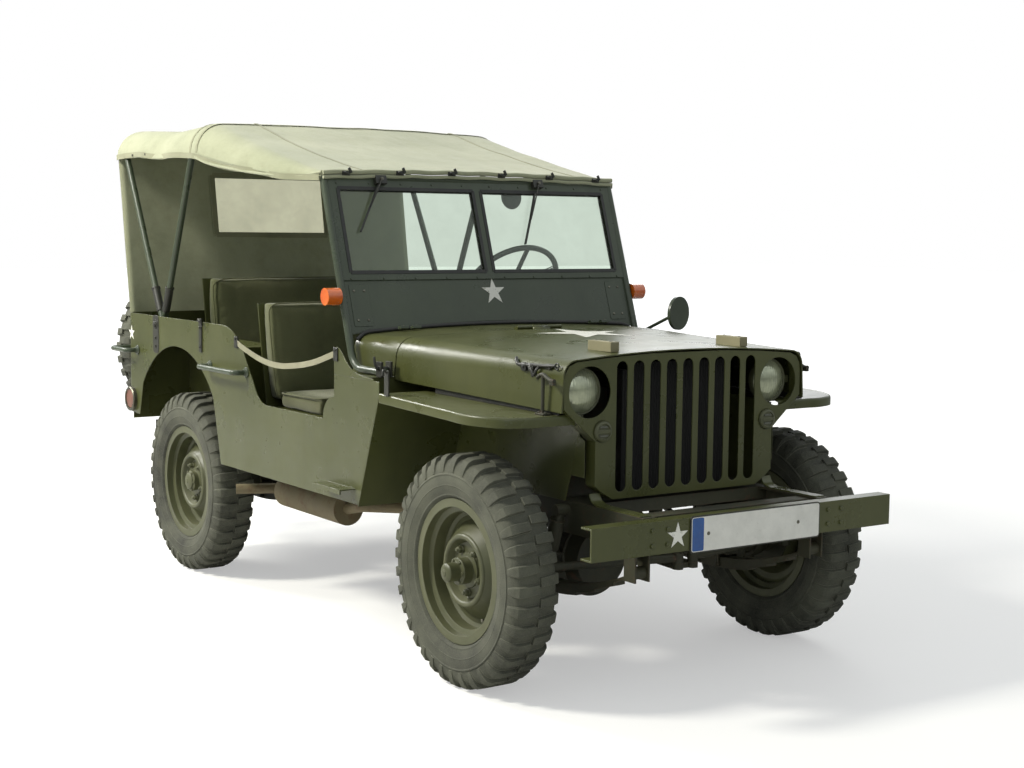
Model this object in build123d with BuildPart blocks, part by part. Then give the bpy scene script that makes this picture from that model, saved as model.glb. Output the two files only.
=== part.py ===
# Light army 4x4 car with its canvas top up, in millimetres.
# The front looks towards -Y, the driver's side is +X and up is +Z. The ground is z = 0.
# Distances named as stations are measured rearwards from the front axle.
from build123d import *
from math import atan2, cos, radians, sin, sqrt, tan
import os

os.makedirs("parts", exist_ok=True)

# Main sizes
wheelbase = 2032
front_reach = 556  # front axle to the bumper's face
rear_reach = 771  # rear axle to the outer face of the spare tyre
track = 1248
sheet = 4  # thickness of the body panels
gap = 0.3  # seat clearance between separate pieces

# Wheels and tyres
tyre_radius = 360
tyre_width = 160
tread_width = 132
bead_radius = 203
rim_half_width = 57
flange_height = 19
rim_wall = 6
well_radius = 186
drum_radius = 118
drum_depth = 54
lug_count = 36  # tread bars on each side of a tyre
lug_width = 28
lug_height = 13
disc_seat = 8  # wheel disc's bolting face, outboard of the tyre's centre plane
hub_radius = 40

# Steering
kingpin_x = 505
knuckle_ball = 64
ball_face = 30  # flat outer end of the ball, outboard of the kingpin
knuckle_wall = 12
knuckle_gap = 1.2
arm_reach = 150  # kingpin to tie rod end, forwards
arm_splay = 30
tie_rod_height = 352
tie_rod_radius = 13
bellcrank_station = -112
drag_arm = 130
drag_height = 432
drag_rod_radius = 11
pitman_station = 430
pitman_shaft_height = 548
pitman_x = 384
drag_rear_x = 448
steering_x = 305
column_angle = 38
column_radius = 20
steering_wheel_radius = 205
steering_wheel_station = 1180
steering_wheel_height = 1160

# Frame, axles and springs
rail_outer = 371
rail_width = 45
rail_height = 100
rail_wall = 6
frame_bottom = 472
bumper_depth = 50
bumper_height = 96
bumper_length = 1190
bumper_wall = 6
rear_overhang = 528  # rear axle to the tub's rear panel
spring_x = 350
spring_width = 44
leaf_thickness = 9
front_spring_half = 455
rear_spring_half = 490
spring_eye_height = 402
spring_eye_radius = 19
axle_tube = 38
perch_drop = 14
diff_x = -190
diff_radius = 126
shock_x = 402
shock_radius = 24

# Body
body_half = 724
tub_top = 1020
sill_bottom = 487
step_station = 655
step_length = 190
step_height = 539
step_reach = 58  # small step outside the sill
step_lip = 16
corner_radius = 50
door_front = 706
door_bottom = 750
door_rear_low = 1300
door_rear_high = 1424
door_rear_top = 1600
seam_station = 545
dash_station = 795
ledge_height = 905
cowl_front_half = 585
cowl_rear_half = 604
cowl_crown = ledge_height + 143
arch_top = 908
wheelhouse_half = 462
wheelhouse_height = 930
hood_front_half = 490
hood_front_crown = cowl_crown - 14
grille_station = -257
grille_half = 478
grille_top = hood_front_crown - 10
slot_pitch = 65
slot_width = 42
slot_count = 9
fender_front = -238
fender_bend = 405
fender_rear_height = 868
fender_front_height = 848
fender_inner = 380
fender_corner = 130  # how far the fender's rounded front corner reaches back and inwards
fender_rim = 30
apron_foot = 543
apron_foot_height = 482

# Windshield, top and spare wheel
screen_foot_station = 754
screen_foot_height = ledge_height
screen_top_station = 977
screen_top_height = 1567
screen_half = 622
screen_tube = 13
panel_top_height = screen_foot_height + 0.46 * (screen_top_height - screen_foot_height)
bow_x = 690
bow_tube = 13
bow_pivot_station = 2240
bow_pivot_height = 985
front_bow_station = 1895
rear_bow_station = 2675
bow_height = 1772
canvas = 6
spare_x = -330
spare_height = 860

# Places that follow from the sizes above
front_axle_y = front_reach - (wheelbase + front_reach + rear_reach) / 2
frame_top = frame_bottom + rail_height
frame_front = -front_reach + bumper_depth
tub_rear = wheelbase + rear_overhang
wheel_x = track / 2
perch_bottom = tyre_radius - axle_tube - perch_drop


def aft(station):
    """Own-frame y of a station measured rearwards from the front axle."""
    return front_axle_y + station


def across(station):
    """Sketch plane square to the car at a station: local x is the car's x, local y its height."""
    return Plane.XZ.offset(-aft(station))


def along(x):
    """Sketch plane at one x: local x is the car's y, local y its height."""
    return Plane.YZ.offset(x)


def hub_plane(side, axle_y):
    """Plane through a wheel's centre: local x runs outboard, local y is the radius."""
    centre = (side * wheel_x, axle_y, tyre_radius)
    return Plane(origin=centre, x_dir=(side, 0, 0), z_dir=(0, -side, 0))


def finish(builder, label):
    """Label a finished piece and write its STEP file."""
    builder.part.label = label
    export_step(builder.part, f"parts/{label}.step")


spare_centre = (spare_x, aft(wheelbase + rear_reach) - tyre_width / 2, spare_height)
spare_plane = Plane(origin=spare_centre, x_dir=(0, 1, 0), z_dir=(1, 0, 0))

# Each wheel position: side (+1 is left), axle's y, name
corners = [
    (1, aft(0), "front_left"),
    (-1, aft(0), "front_right"),
    (1, aft(wheelbase), "rear_left"),
    (-1, aft(wheelbase), "rear_right"),
]


# Tyres: a ring with rounded sidewalls and two staggered rows of bars fused to it
def tyre_sketch():
    half = tyre_width / 2 - 1
    widest = (half, tyre_radius - 75)
    bead = (rim_half_width - gap, bead_radius + gap)
    lip = (bead[0] + 6, bead_radius + flange_height + 3)
    shoulder = (half - 7, tyre_radius - 34)
    edge = (tread_width / 2 - 4, tyre_radius - lug_height - 5)
    crown = (tread_width / 2 - 16, tyre_radius - lug_height)
    with BuildLine() as outline:
        Line((-bead[0], bead[1]), bead)
        Line(bead, (bead[0], lip[1] - 1))
        Line((bead[0], lip[1] - 1), lip)
        TangentArc(widest, lip, tangent=(0, -1))
        TangentArc(widest, shoulder, tangent=(0, 1))
        Polyline(shoulder, edge, crown, (-crown[0], crown[1]), (-edge[0], edge[1]))
        Line((-edge[0], edge[1]), (-shoulder[0], shoulder[1]))
        TangentArc((-half, widest[1]), (-shoulder[0], shoulder[1]), tangent=(0, 1))
        TangentArc((-half, widest[1]), (-lip[0], lip[1]), tangent=(0, -1))
        Line((-lip[0], lip[1]), (-bead[0], lip[1] - 1))
        Line((-bead[0], lip[1] - 1), (-bead[0], bead[1]))
    make_face(outline.edges())


def lug_sketch():
    """One tread bar from beside the tyre's middle over its shoulder and down the sidewall."""
    half = tyre_width / 2
    foot = tyre_radius - 56
    with BuildLine() as outline:
        Polyline(
            (2, tyre_radius - lug_height - 7),
            (2, tyre_radius),
            (tread_width / 2 - 4, tyre_radius - 2),
            (half - 1, tyre_radius - 34),
            (half - 0.4, foot),
            (half - 14, foot),
            close=True,
        )
    make_face(outline.edges())


tyre_axis = Axis((0, 0, 0), (1, 0, 0))
with BuildPart() as tyre_form:
    with BuildSketch(Plane.XZ):
        tyre_sketch()
    revolve(axis=tyre_axis)
    with BuildSketch(Plane.XZ) as lug_outline:
        lug_sketch()
    lug = extrude(lug_outline.sketch, amount=lug_width / 2, both=True, mode=Mode.PRIVATE)
    facing = lug.rotate(tyre_axis, 180 / lug_count).mirror(Plane.YZ)
    for index in range(lug_count):
        turn = 360 * index / lug_count
        add([lug.rotate(tyre_axis, turn), facing.rotate(tyre_axis, turn)], clean=False)

for side, axle_y, name in corners:
    with BuildPart() as tyre:
        add(tyre_form.part.moved(Location((side * wheel_x, axle_y, tyre_radius))))
    finish(tyre, f"tyre_{name}")

with BuildPart() as spare_tyre:
    add(tyre_form.part.moved(Location(spare_centre, (0, 0, 90))))
finish(spare_tyre, "spare_tyre")


# Wheels: drop-centre rim, dished disc with a raised ring, brake drum and hub
def rim_points():
    """Rim outline from the disc's front side round to the disc's rear side."""
    edge = rim_half_width
    tip = bead_radius + flange_height
    base = bead_radius - rim_wall
    well = well_radius - rim_wall
    return [
        (-8, well),
        (edge - 26, well),
        (edge - 20, base),
        (edge + 5, base),
        (edge + 5, tip + 1),
        (edge, tip),
        (edge, bead_radius),
        (edge - 24, bead_radius),
        (edge - 30, well_radius),
        (-edge + 30, well_radius),
        (-edge + 24, bead_radius),
        (-edge, bead_radius),
        (-edge, tip),
        (-edge - 5, tip + 1),
        (-edge - 5, base),
        (-edge + 20, base),
        (-edge + 26, well),
        (-16, well),
    ]


def wheel_sketch(nose, step, barrel, drum):
    """Whole wheel section: the hub's reach, its step, the cap's radius and the drum's depth."""
    face = disc_seat + 6
    with BuildLine() as outline:
        if nose:
            ThreePointArc((nose, 0), (nose - 1.5, barrel * 0.7), (nose - 7, barrel))
            Polyline(
                (nose - 7, barrel),
                (step + 3, barrel),
                (step, hub_radius),
                (face + 9, hub_radius),
                (face + 6, hub_radius + 14),
                (face, hub_radius + 14),
                (face, 86),
                (32, 94),
            )
        else:
            Polyline((face, 0), (face, 86), (32, 94))
        ThreePointArc((32, 94), (40, 104), (32, 114))
        Polyline((32, 114), (-10, 152), (-14, 168), *rim_points(), (-21, 168), (-17, 148), (26, 109))
        ThreePointArc((26, 109), (32, 104), (26, 99))
        if drum:
            Polyline(
                (26, 99),
                (disc_seat, 90),
                (disc_seat, drum_radius - 6),
                (disc_seat - 4, drum_radius),
                (disc_seat - drum, drum_radius),
                (disc_seat - drum, 0),
                (nose, 0),
            )
        else:
            Polyline((26, 99), (disc_seat, 90), (disc_seat, 0), (face, 0))
    make_face(outline.edges())


for side, axle_y, name in corners:
    with BuildPart() as wheel:
        with BuildSketch(hub_plane(side, axle_y)):
            if name.startswith("front"):
                wheel_sketch(nose=104, step=58, barrel=29, drum=drum_depth)
            else:
                wheel_sketch(nose=58, step=44, barrel=34, drum=drum_depth)
        revolve(axis=Axis((0, axle_y, tyre_radius), (1, 0, 0)))
    finish(wheel, f"wheel_{name}")

with BuildPart() as spare_wheel:
    with BuildSketch(spare_plane):
        wheel_sketch(nose=0, step=0, barrel=0, drum=0)
    revolve(axis=Axis(spare_centre, (0, 1, 0)))
finish(spare_wheel, "spare_wheel")

# Frame: two channel rails, cross members and spring hangers
# Cross members: station of the centre, depth, bottom above the rail's bottom, height
cross_members = [
    (-440, 60, 6, 88),
    (-160, 150, 60, 40),
    (640, 110, 6, 28 - 6 - gap),
    (1120, 60, 58, 40),
    (1500, 60, 6, 88),
    (tub_rear - 40, 60, 6, 88),
]
# Spring hangers: station of the eye
hangers = [
    -front_spring_half,
    front_spring_half,
    wheelbase - rear_spring_half,
    wheelbase + rear_spring_half,
]
rail_centre = rail_outer - rail_width / 2
rail_start = aft(frame_front)
rail_length = tub_rear - sheet - frame_front
hanger_plate = 6
hanger_depth = 52
hanger_bottom = spring_eye_height - spring_eye_radius - 6
# Shock absorbers: axle's station, direction towards the upper eye
shocks = [(0, -1), (wheelbase, 1)]
shock_low = (62, 318)
shock_high = (140, 545)
shock_eye = 18
with BuildPart() as frame:
    with BuildSketch(across(frame_front)):
        for side in (-1, 1):
            with Locations((side * rail_centre, frame_bottom + rail_height / 2)):
                Rectangle(rail_width, rail_height)
            with Locations((side * (rail_centre - rail_wall), frame_bottom + rail_height / 2)):
                Rectangle(rail_width, rail_height - 2 * rail_wall, mode=Mode.SUBTRACT)
    extrude(amount=-rail_length)
    for station, depth, rise, height in cross_members:
        with Locations((0, aft(station), frame_bottom + rise)):
            Box(
                2 * (rail_outer - rail_wall),
                depth,
                height,
                align=(Align.CENTER, Align.CENTER, Align.MIN),
            )
    with Locations((0, rail_start + rail_length, frame_bottom + 18)):
        Box(1200, 16, 62, align=(Align.CENTER, Align.MAX, Align.MIN))
    for station in hangers:
        with Locations(*[(side * spring_x, aft(station), frame_bottom) for side in (-1, 1)]):
            Box(
                spring_width + 2 * (gap + hanger_plate),
                hanger_depth,
                frame_bottom - hanger_bottom,
                align=(Align.CENTER, Align.CENTER, Align.MAX),
            )
    for station in hangers:
        with Locations(*[(side * spring_x, aft(station), frame_bottom - 12) for side in (-1, 1)]):
            Box(
                spring_width + 2 * gap,
                hanger_depth + 2,
                frame_bottom - hanger_bottom,
                align=(Align.CENTER, Align.CENTER, Align.MAX),
                mode=Mode.SUBTRACT,
            )
    for station, direction in shocks:
        for side in (-1, 1):
            stub = (side * (rail_outer - 3), aft(station + direction * shock_high[0]), shock_high[1])
            with Locations(Plane(origin=stub, z_dir=(side, 0, 0))):
                Cylinder(
                    14,
                    shock_x - shock_eye - gap - rail_outer + 3,
                    align=(Align.CENTER, Align.CENTER, Align.MIN),
                )
    with Locations(Plane(origin=(rail_outer, aft(pitman_station), pitman_shaft_height), z_dir=(1, 0, 0))):
        Cylinder(14.5, 4 * rail_wall, mode=Mode.SUBTRACT)
finish(frame, "frame")

# Front bumper: a channel across the rail ends
with BuildPart() as front_bumper:
    with BuildSketch(along(-bumper_length / 2)):
        with Locations((aft(-front_reach + bumper_depth / 2), frame_bottom + rail_height / 2)):
            Rectangle(bumper_depth, bumper_height)
        with Locations(
            (aft(-front_reach + bumper_depth / 2 + bumper_wall), frame_bottom + rail_height / 2)
        ):
            Rectangle(bumper_depth, bumper_height - 2 * bumper_wall, mode=Mode.SUBTRACT)
    extrude(amount=bumper_length)
finish(front_bumper, "front_bumper")


# Axles: housing tube, differential with pinion nose, spring perches
def axle_body(axle_y, nose_side, tube_end):
    """nose_side is +1 where the pinion looks rearwards, -1 where it looks forwards."""
    with Locations((0, axle_y, tyre_radius)):
        Cylinder(axle_tube, 2 * tube_end, rotation=(0, 90, 0))
    with Locations(Plane(origin=(diff_x, axle_y, tyre_radius), z_dir=(0, nose_side, 0))):
        Cylinder(diff_radius, 74, align=(Align.CENTER, Align.CENTER, Align.CENTER))
    cover = Plane(origin=(diff_x, axle_y - nose_side * 37, tyre_radius), z_dir=(0, -nose_side, 0))
    with BuildSketch(cover) as cover_face:
        Circle(diff_radius - 8)
    extrude(cover_face.sketch, amount=42, taper=28)
    nose = Plane(origin=(diff_x, axle_y + nose_side * 37, tyre_radius), z_dir=(0, nose_side, 0))
    with BuildSketch(nose) as nose_face:
        Circle(diff_radius - 22)
    extrude(nose_face.sketch, amount=pinion_reach - 37, taper=30)
    for side in (-1, 1):
        with Locations((side * spring_x, axle_y, tyre_radius - axle_tube - perch_drop)):
            Box(spring_width + 14, 92, 30, align=(Align.CENTER, Align.CENTER, Align.MIN))
        stub = (side * (shock_x - shock_eye - gap), axle_y - nose_side * shock_low[0], shock_low[1])
        with Locations(stub):
            Box(
                50,
                44,
                16,
                align=(Align.MAX if side > 0 else Align.MIN, Align.CENTER, Align.MIN),
            )


pinion_reach = 150
front_tube_end = kingpin_x - 20
with BuildPart() as front_axle:
    axle_body(aft(0), 1, front_tube_end)
    for side in (-1, 1):
        ball_centre = (side * kingpin_x, aft(0), tyre_radius)
        with BuildSketch(Plane(origin=ball_centre, x_dir=(side, 0, 0), z_dir=(0, 0, side))):
            with BuildLine():
                ThreePointArc(
                    (-sqrt(knuckle_ball**2 - 30**2), 30),
                    (0, knuckle_ball),
                    (ball_face, sqrt(knuckle_ball**2 - ball_face**2)),
                )
                Polyline(
                    (ball_face, sqrt(knuckle_ball**2 - ball_face**2)),
                    (ball_face, 0),
                    (-sqrt(knuckle_ball**2 - 30**2), 0),
                    (-sqrt(knuckle_ball**2 - 30**2), 30),
                )
            make_face()
        revolve(axis=Axis((0, aft(0), tyre_radius), (1, 0, 0)))
finish(front_axle, "front_axle")

backing_x = wheel_x + disc_seat - drum_depth - gap
with BuildPart() as rear_axle:
    axle_body(aft(wheelbase), -1, backing_x - 6)
    with Locations(*[(side * (backing_x - 3), aft(wheelbase), tyre_radius) for side in (-1, 1)]):
        Cylinder(drum_radius, 6, rotation=(0, 90, 0))
finish(rear_axle, "rear_axle")

# Steering knuckles: a cup round the ball, the backing plate and the steering arm
cup_inner = knuckle_ball + knuckle_gap
cup_outer = cup_inner + knuckle_wall
cup_rim = -20
cup_floor = 54
plate_x = backing_x - kingpin_x
for side, name in ((1, "left"), (-1, "right")):
    pivot = (side * kingpin_x, aft(0), tyre_radius)
    with BuildPart() as knuckle:
        with BuildSketch(Plane(origin=pivot, x_dir=(side, 0, 0), z_dir=(0, 0, side))):
            with BuildLine():
                ThreePointArc(
                    (cup_rim, sqrt(cup_outer**2 - cup_rim**2)),
                    (0, cup_outer),
                    (40, sqrt(cup_outer**2 - 40**2)),
                )
                Polyline(
                    (40, sqrt(cup_outer**2 - 40**2)),
                    (plate_x - 6, sqrt(cup_outer**2 - 40**2)),
                    (plate_x - 6, drum_radius),
                    (plate_x, drum_radius),
                    (plate_x, 0),
                    (cup_floor, 0),
                    (cup_floor, sqrt(cup_inner**2 - cup_floor**2)),
                )
                ThreePointArc(
                    (cup_floor, sqrt(cup_inner**2 - cup_floor**2)),
                    (0, cup_inner),
                    (cup_rim, sqrt(cup_inner**2 - cup_rim**2)),
                )
                Line(
                    (cup_rim, sqrt(cup_inner**2 - cup_rim**2)),
                    (cup_rim, sqrt(cup_outer**2 - cup_rim**2)),
                )
            make_face()
        revolve(axis=Axis((0, aft(0), tyre_radius), (1, 0, 0)))
        for rise in (70, -90):
            with Locations((pivot[0], pivot[1], pivot[2] + rise)):
                Cylinder(20, 20, align=(Align.CENTER, Align.CENTER, Align.MIN))
        with BuildSketch(Plane.XY.offset(tie_rod_height - 9)):
            with BuildLine():
                Polyline(
                    (pivot[0] - side * 4, pivot[1] - cup_inner - 5),
                    (pivot[0] + side * 40, pivot[1] - cup_inner + 4),
                    (pivot[0] + side * (arm_splay + 13), pivot[1] - arm_reach),
                    (pivot[0] + side * (arm_splay - 13), pivot[1] - arm_reach),
                    close=True,
                )
            make_face()
            with Locations((pivot[0] + side * arm_splay, pivot[1] - arm_reach)):
                Circle(17)
        extrude(amount=18)
    finish(knuckle, f"knuckle_{name}")

# Tie rods: from each knuckle arm to the bellcrank, on top of the arms
for side, name in ((1, "left"), (-1, "right")):
    outer = (side * (kingpin_x + arm_splay), aft(-arm_reach))
    inner = (side * arm_splay, aft(bellcrank_station - arm_reach))
    rod_height = tie_rod_height + 9 + gap + 17
    with BuildPart() as tie_rod:
        with Locations((*outer, rod_height), (*inner, rod_height)):
            Cylinder(17, 34)
        with BuildSketch(
            Plane(
                origin=(*outer, rod_height),
                z_dir=(inner[0] - outer[0], inner[1] - outer[1], 0),
            )
        ):
            Circle(tie_rod_radius)
        extrude(amount=sqrt((inner[0] - outer[0]) ** 2 + (inner[1] - outer[1]) ** 2))
    finish(tie_rod, f"tie_rod_{name}")

# Bellcrank: hangs from the front of the frame and moves both tie rods
crank_y = aft(bellcrank_station)
crank_top = frame_bottom + 60 - gap
with BuildPart() as bellcrank:
    with BuildSketch(Plane.XY.offset(tie_rod_height - 9)):
        with BuildLine():
            Polyline(
                (-arm_splay - 15, crank_y - arm_reach),
                (arm_splay + 15, crank_y - arm_reach),
                (30, crank_y),
                (-30, crank_y),
                close=True,
            )
        make_face()
        with Locations(*[(side * arm_splay, crank_y - arm_reach) for side in (-1, 1)]):
            Circle(17)
        with Locations((0, crank_y)):
            Circle(30)
    extrude(amount=18)
    with Locations((0, crank_y, tie_rod_height)):
        Cylinder(22, crank_top - tie_rod_height, align=(Align.CENTER, Align.CENTER, Align.MIN))
    with BuildSketch(Plane.XY.offset(drag_height - 30)):
        with BuildLine():
            Polyline(
                (0, crank_y - 22),
                (drag_arm, crank_y - 13),
                (drag_arm, crank_y + 13),
                (0, crank_y + 22),
                close=True,
            )
        make_face()
        with Locations((drag_arm, crank_y)):
            Circle(17)
    extrude(amount=14)
finish(bellcrank, "bellcrank")

# Drag link: from the bellcrank's side arm back to the pitman arm
drag_front = (drag_arm, crank_y)
drag_rear = (drag_rear_x, aft(pitman_station))
with BuildPart() as drag_link:
    with Locations((*drag_front, drag_height), (*drag_rear, drag_height)):
        Cylinder(15, 2 * (16 - gap))
    with BuildSketch(
        Plane(
            origin=(*drag_front, drag_height),
            z_dir=(drag_rear[0] - drag_front[0], drag_rear[1] - drag_front[1], 0),
        )
    ):
        Circle(drag_rod_radius)
    extrude(
        amount=sqrt((drag_rear[0] - drag_front[0]) ** 2 + (drag_rear[1] - drag_front[1]) ** 2)
    )
finish(drag_link, "drag_link")

# Pitman arm: swings on the steering box's shaft outside the left rail
with BuildPart() as pitman_arm:
    with BuildSketch(along(pitman_x)):
        with BuildLine():
            Polyline(
                (aft(pitman_station) - 18, pitman_shaft_height),
                (aft(pitman_station) - 14, drag_height),
                (aft(pitman_station) + 14, drag_height),
                (aft(pitman_station) + 18, pitman_shaft_height),
                close=True,
            )
        make_face()
        with Locations((aft(pitman_station), pitman_shaft_height)):
            Circle(18)
        with Locations((aft(pitman_station), drag_height)):
            Circle(16)
    extrude(amount=10)
finish(pitman_arm, "pitman_arm")


# Springs and shock absorbers
def leaf(centre_y, half_length, eye_half, index):
    """One leaf in side view: an arc with its low point on the axle's perch."""
    low = perch_bottom - gap - 1.2
    rise = spring_eye_height - low
    radius = (eye_half**2 + rise**2) / (2 * rise)
    top = radius + index * leaf_thickness
    bottom = top + leaf_thickness
    centre_z = low + radius
    with BuildLine() as outline:
        points = []
        for r in (top, bottom):
            drop = centre_z - sqrt(r**2 - half_length**2)
            points.append((drop, centre_z - r))
        ThreePointArc(
            (centre_y - half_length, points[0][0]),
            (centre_y, points[0][1]),
            (centre_y + half_length, points[0][0]),
        )
        Line(
            (centre_y + half_length, points[0][0]), (centre_y + half_length, points[1][0])
        )
        ThreePointArc(
            (centre_y + half_length, points[1][0]),
            (centre_y, points[1][1]),
            (centre_y - half_length, points[1][0]),
        )
        Line(
            (centre_y - half_length, points[1][0]), (centre_y - half_length, points[0][0])
        )
    make_face(outline.edges())


# Springs: axle's station, half length between the eyes
springs = [(0, front_spring_half), (wheelbase, rear_spring_half)]
leaf_share = (1.0, 0.82, 0.62, 0.42)
with BuildPart() as suspension:
    for side in (-1, 1):
        for station, eye_half in springs:
            with BuildSketch(along(side * spring_x - spring_width / 2)):
                for index, share in enumerate(leaf_share):
                    leaf(aft(station), eye_half * share, eye_half, index)
                with Locations(*[(aft(station + end * eye_half), spring_eye_height) for end in (-1, 1)]):
                    Circle(spring_eye_radius)
            extrude(amount=spring_width)
        for station, direction in shocks:
            low = Vector(side * shock_x, aft(station + direction * shock_low[0]), shock_low[1])
            high = Vector(side * shock_x, aft(station + direction * shock_high[0]), shock_high[1])
            with Locations(low, high):
                Cylinder(shock_eye, 2 * shock_eye, rotation=(0, 90, 0))
            with BuildSketch(Plane(origin=low, z_dir=high - low)):
                Circle(shock_radius - 7)
            extrude(amount=(high - low).length)
            with BuildSketch(Plane(origin=low + (high - low) * 0.45, z_dir=high - low)):
                Circle(shock_radius)
            extrude(amount=(high - low).length * 0.42)
finish(suspension, "suspension")

# Engine, gearbox, transfer case and propeller shafts
engine_front = -80
engine_rear = 420
bell_depth = 120
gearbox_rear = 860
transfer_rear = 1060
shaft_radius = 27
joint_radius = 44
front_flange = pinion_reach + gap
rear_flange = wheelbase - pinion_reach - gap
transfer_height = 470
with BuildPart() as drivetrain:
    with Locations((-15, aft(engine_front), 505)):
        Box(330, engine_rear - engine_front, 400, align=(Align.CENTER, Align.MIN, Align.MIN))
    with Locations((20, aft(120), 430)):
        Box(220, 300, 80, align=(Align.CENTER, Align.MIN, Align.MIN))
    with BuildSketch(across(engine_rear)):
        with Locations((0, 612)):
            Circle(180)
    extrude(amount=-bell_depth)
    with Locations((0, aft(engine_rear + bell_depth - 10), frame_bottom + 28)):
        Box(
            200,
            gearbox_rear - engine_rear - bell_depth + 10,
            60,
            align=(Align.CENTER, Align.MIN, Align.MIN),
        )
    with Locations((-90, aft(gearbox_rear - 5), 400)):
        Box(300, transfer_rear - gearbox_rear + 5, 150, align=(Align.CENTER, Align.MIN, Align.MIN))
    for start, end, flange, direction in (
        (gearbox_rear, front_flange, joint_radius, -1),
        (transfer_rear, rear_flange, joint_radius, 1),
    ):
        first = (diff_x, aft(start), transfer_height)
        last = (diff_x, aft(end), tyre_radius)
        with Locations(Plane(origin=first, z_dir=(0, direction, 0))):
            Cylinder(flange, 50, align=(Align.CENTER, Align.CENTER, Align.MIN))
        with Locations(Plane(origin=last, z_dir=(0, -direction, 0))):
            Cylinder(flange, 50, align=(Align.CENTER, Align.CENTER, Align.MIN))
        shaft_start = Vector(diff_x, aft(start) + direction * 25, transfer_height)
        shaft_end = Vector(diff_x, aft(end) - direction * 25, tyre_radius)
        with BuildSketch(Plane(origin=shaft_start, z_dir=shaft_end - shaft_start)):
            Circle(shaft_radius)
        extrude(amount=(shaft_end - shaft_start).length)
finish(drivetrain, "drivetrain")

# Exhaust: front pipe, muffler under the right sill and a tail pipe to the side
muffler_x = -545
muffler_front = 930
muffler_rear = 1400
with BuildPart() as exhaust:
    with BuildSketch(across(muffler_front)):
        with Locations((muffler_x, 400)):
            Circle(60)
    extrude(amount=-(muffler_rear - muffler_front))
    with BuildLine() as front_pipe:
        FilletPolyline(
            (-15 - 165, aft(330), 540),
            (-260, aft(330), 540),
            (-290, aft(560), 430),
            (muffler_x, aft(830), 425),
            (muffler_x, aft(muffler_front + 10), 400),
            radius=40,
        )
    with BuildSketch(Plane(origin=front_pipe.line @ 0, z_dir=front_pipe.line % 0)):
        Circle(21)
    sweep(path=front_pipe.line)
    with BuildLine() as tail_pipe:
        FilletPolyline(
            (muffler_x, aft(muffler_rear - 10), 400),
            (muffler_x, aft(muffler_rear + 60), 400),
            (-700, aft(muffler_rear + 130), 400),
            radius=30,
        )
    with BuildSketch(Plane(origin=tail_pipe.line @ 0, z_dir=tail_pipe.line % 0)):
        Circle(19)
    sweep(path=tail_pipe.line)
finish(exhaust, "exhaust")

# Radiator behind the grille, standing on its cross member
with BuildPart() as radiator:
    with Locations((0, aft(-172), frame_top + gap)):
        Box(430, 56, 400, align=(Align.CENTER, Align.CENTER, Align.MIN))
    with Locations((0, aft(-172), frame_top + 400)):
        Box(400, 64, 20, align=(Align.CENTER, Align.CENTER, Align.MIN))
finish(radiator, "radiator")

# Grille: pressed panel with nine slots, lamp openings and a folded rim
lamp_x = 381
lamp_height = 915
lamp_hole = 78
marker_x = 333
marker_height = 795
marker_hole = 33
grille_outline = [
    (grille_half, 868),
    (grille_half, 950),
    (grille_half - 4, 972),
    (grille_half - 18, 995),
    (430, 1007),
    (300, grille_top - 7),
    (150, grille_top),
    (-150, grille_top),
    (-300, grille_top - 7),
    (-430, 1007),
    (-grille_half + 18, 995),
    (-grille_half + 4, 972),
    (-grille_half, 950),
    (-grille_half, 868),
    (-358, 765),
    (-358, 630),
    (-334, 611),
    (-290, 585),
    (290, 585),
    (334, 611),
    (358, 630),
    (358, 765),
]
with BuildPart() as grille:
    with BuildSketch(across(grille_station)):
        with BuildLine():
            Polyline(*grille_outline, close=True)
        make_face()
    extrude(amount=-46)
    with BuildSketch(across(grille_station + sheet)):
        with BuildLine():
            Polyline(*grille_outline, close=True)
        make_face()
        offset(amount=-sheet, mode=Mode.REPLACE)
    extrude(amount=-46, mode=Mode.SUBTRACT)
    with BuildSketch(across(grille_station)):
        with Locations((0, 805)):
            with GridLocations(slot_pitch, 0, slot_count, 1):
                SlotCenterToCenter(356, slot_width, rotation=90)
        with Locations(*[(side * lamp_x, lamp_height) for side in (-1, 1)]):
            Circle(lamp_hole)
        with Locations(*[(side * marker_x, marker_height) for side in (-1, 1)]):
            Circle(marker_hole)
    extrude(amount=-sheet, mode=Mode.SUBTRACT)
finish(grille, "grille")

# Headlamps and marker lamps behind their openings
with BuildPart() as front_lamps:
    for side in (-1, 1):
        with BuildSketch(across(grille_station + sheet + 6)):
            with Locations((side * lamp_x, lamp_height)):
                Circle(66)
        extrude(amount=-60, taper=12)
        with BuildSketch(across(grille_station + sheet + 36)):
            with Locations((side * lamp_x, lamp_height)):
                Rectangle(2 * (grille_half - lamp_x - sheet - gap), 24)
        extrude(amount=-8)
        with BuildSketch(across(grille_station - 4)):
            with Locations((side * marker_x, marker_height)):
                Circle(marker_hole - 4)
        extrude(amount=-40)
        with BuildSketch(across(grille_station + sheet + gap)):
            with Locations((side * (marker_x - 17), marker_height)):
                Rectangle(58, 20)
        extrude(amount=-8)
finish(front_lamps, "front_lamps")

# Front fenders: flat top with a rounded edge, sloping apron and inner panel
slope = atan2(fender_rear_height - fender_front_height, fender_bend - fender_front)
apron_slope = atan2(fender_rear_height - apron_foot_height, apron_foot - fender_bend)


def fender_top_plane():
    """Plane of the fender's top, with local y running forwards and falling a little."""
    return Plane(
        origin=(0, aft(fender_bend), fender_rear_height),
        x_dir=(1, 0, 0),
        z_dir=(0, -sin(slope), cos(slope)),
    )


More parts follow.
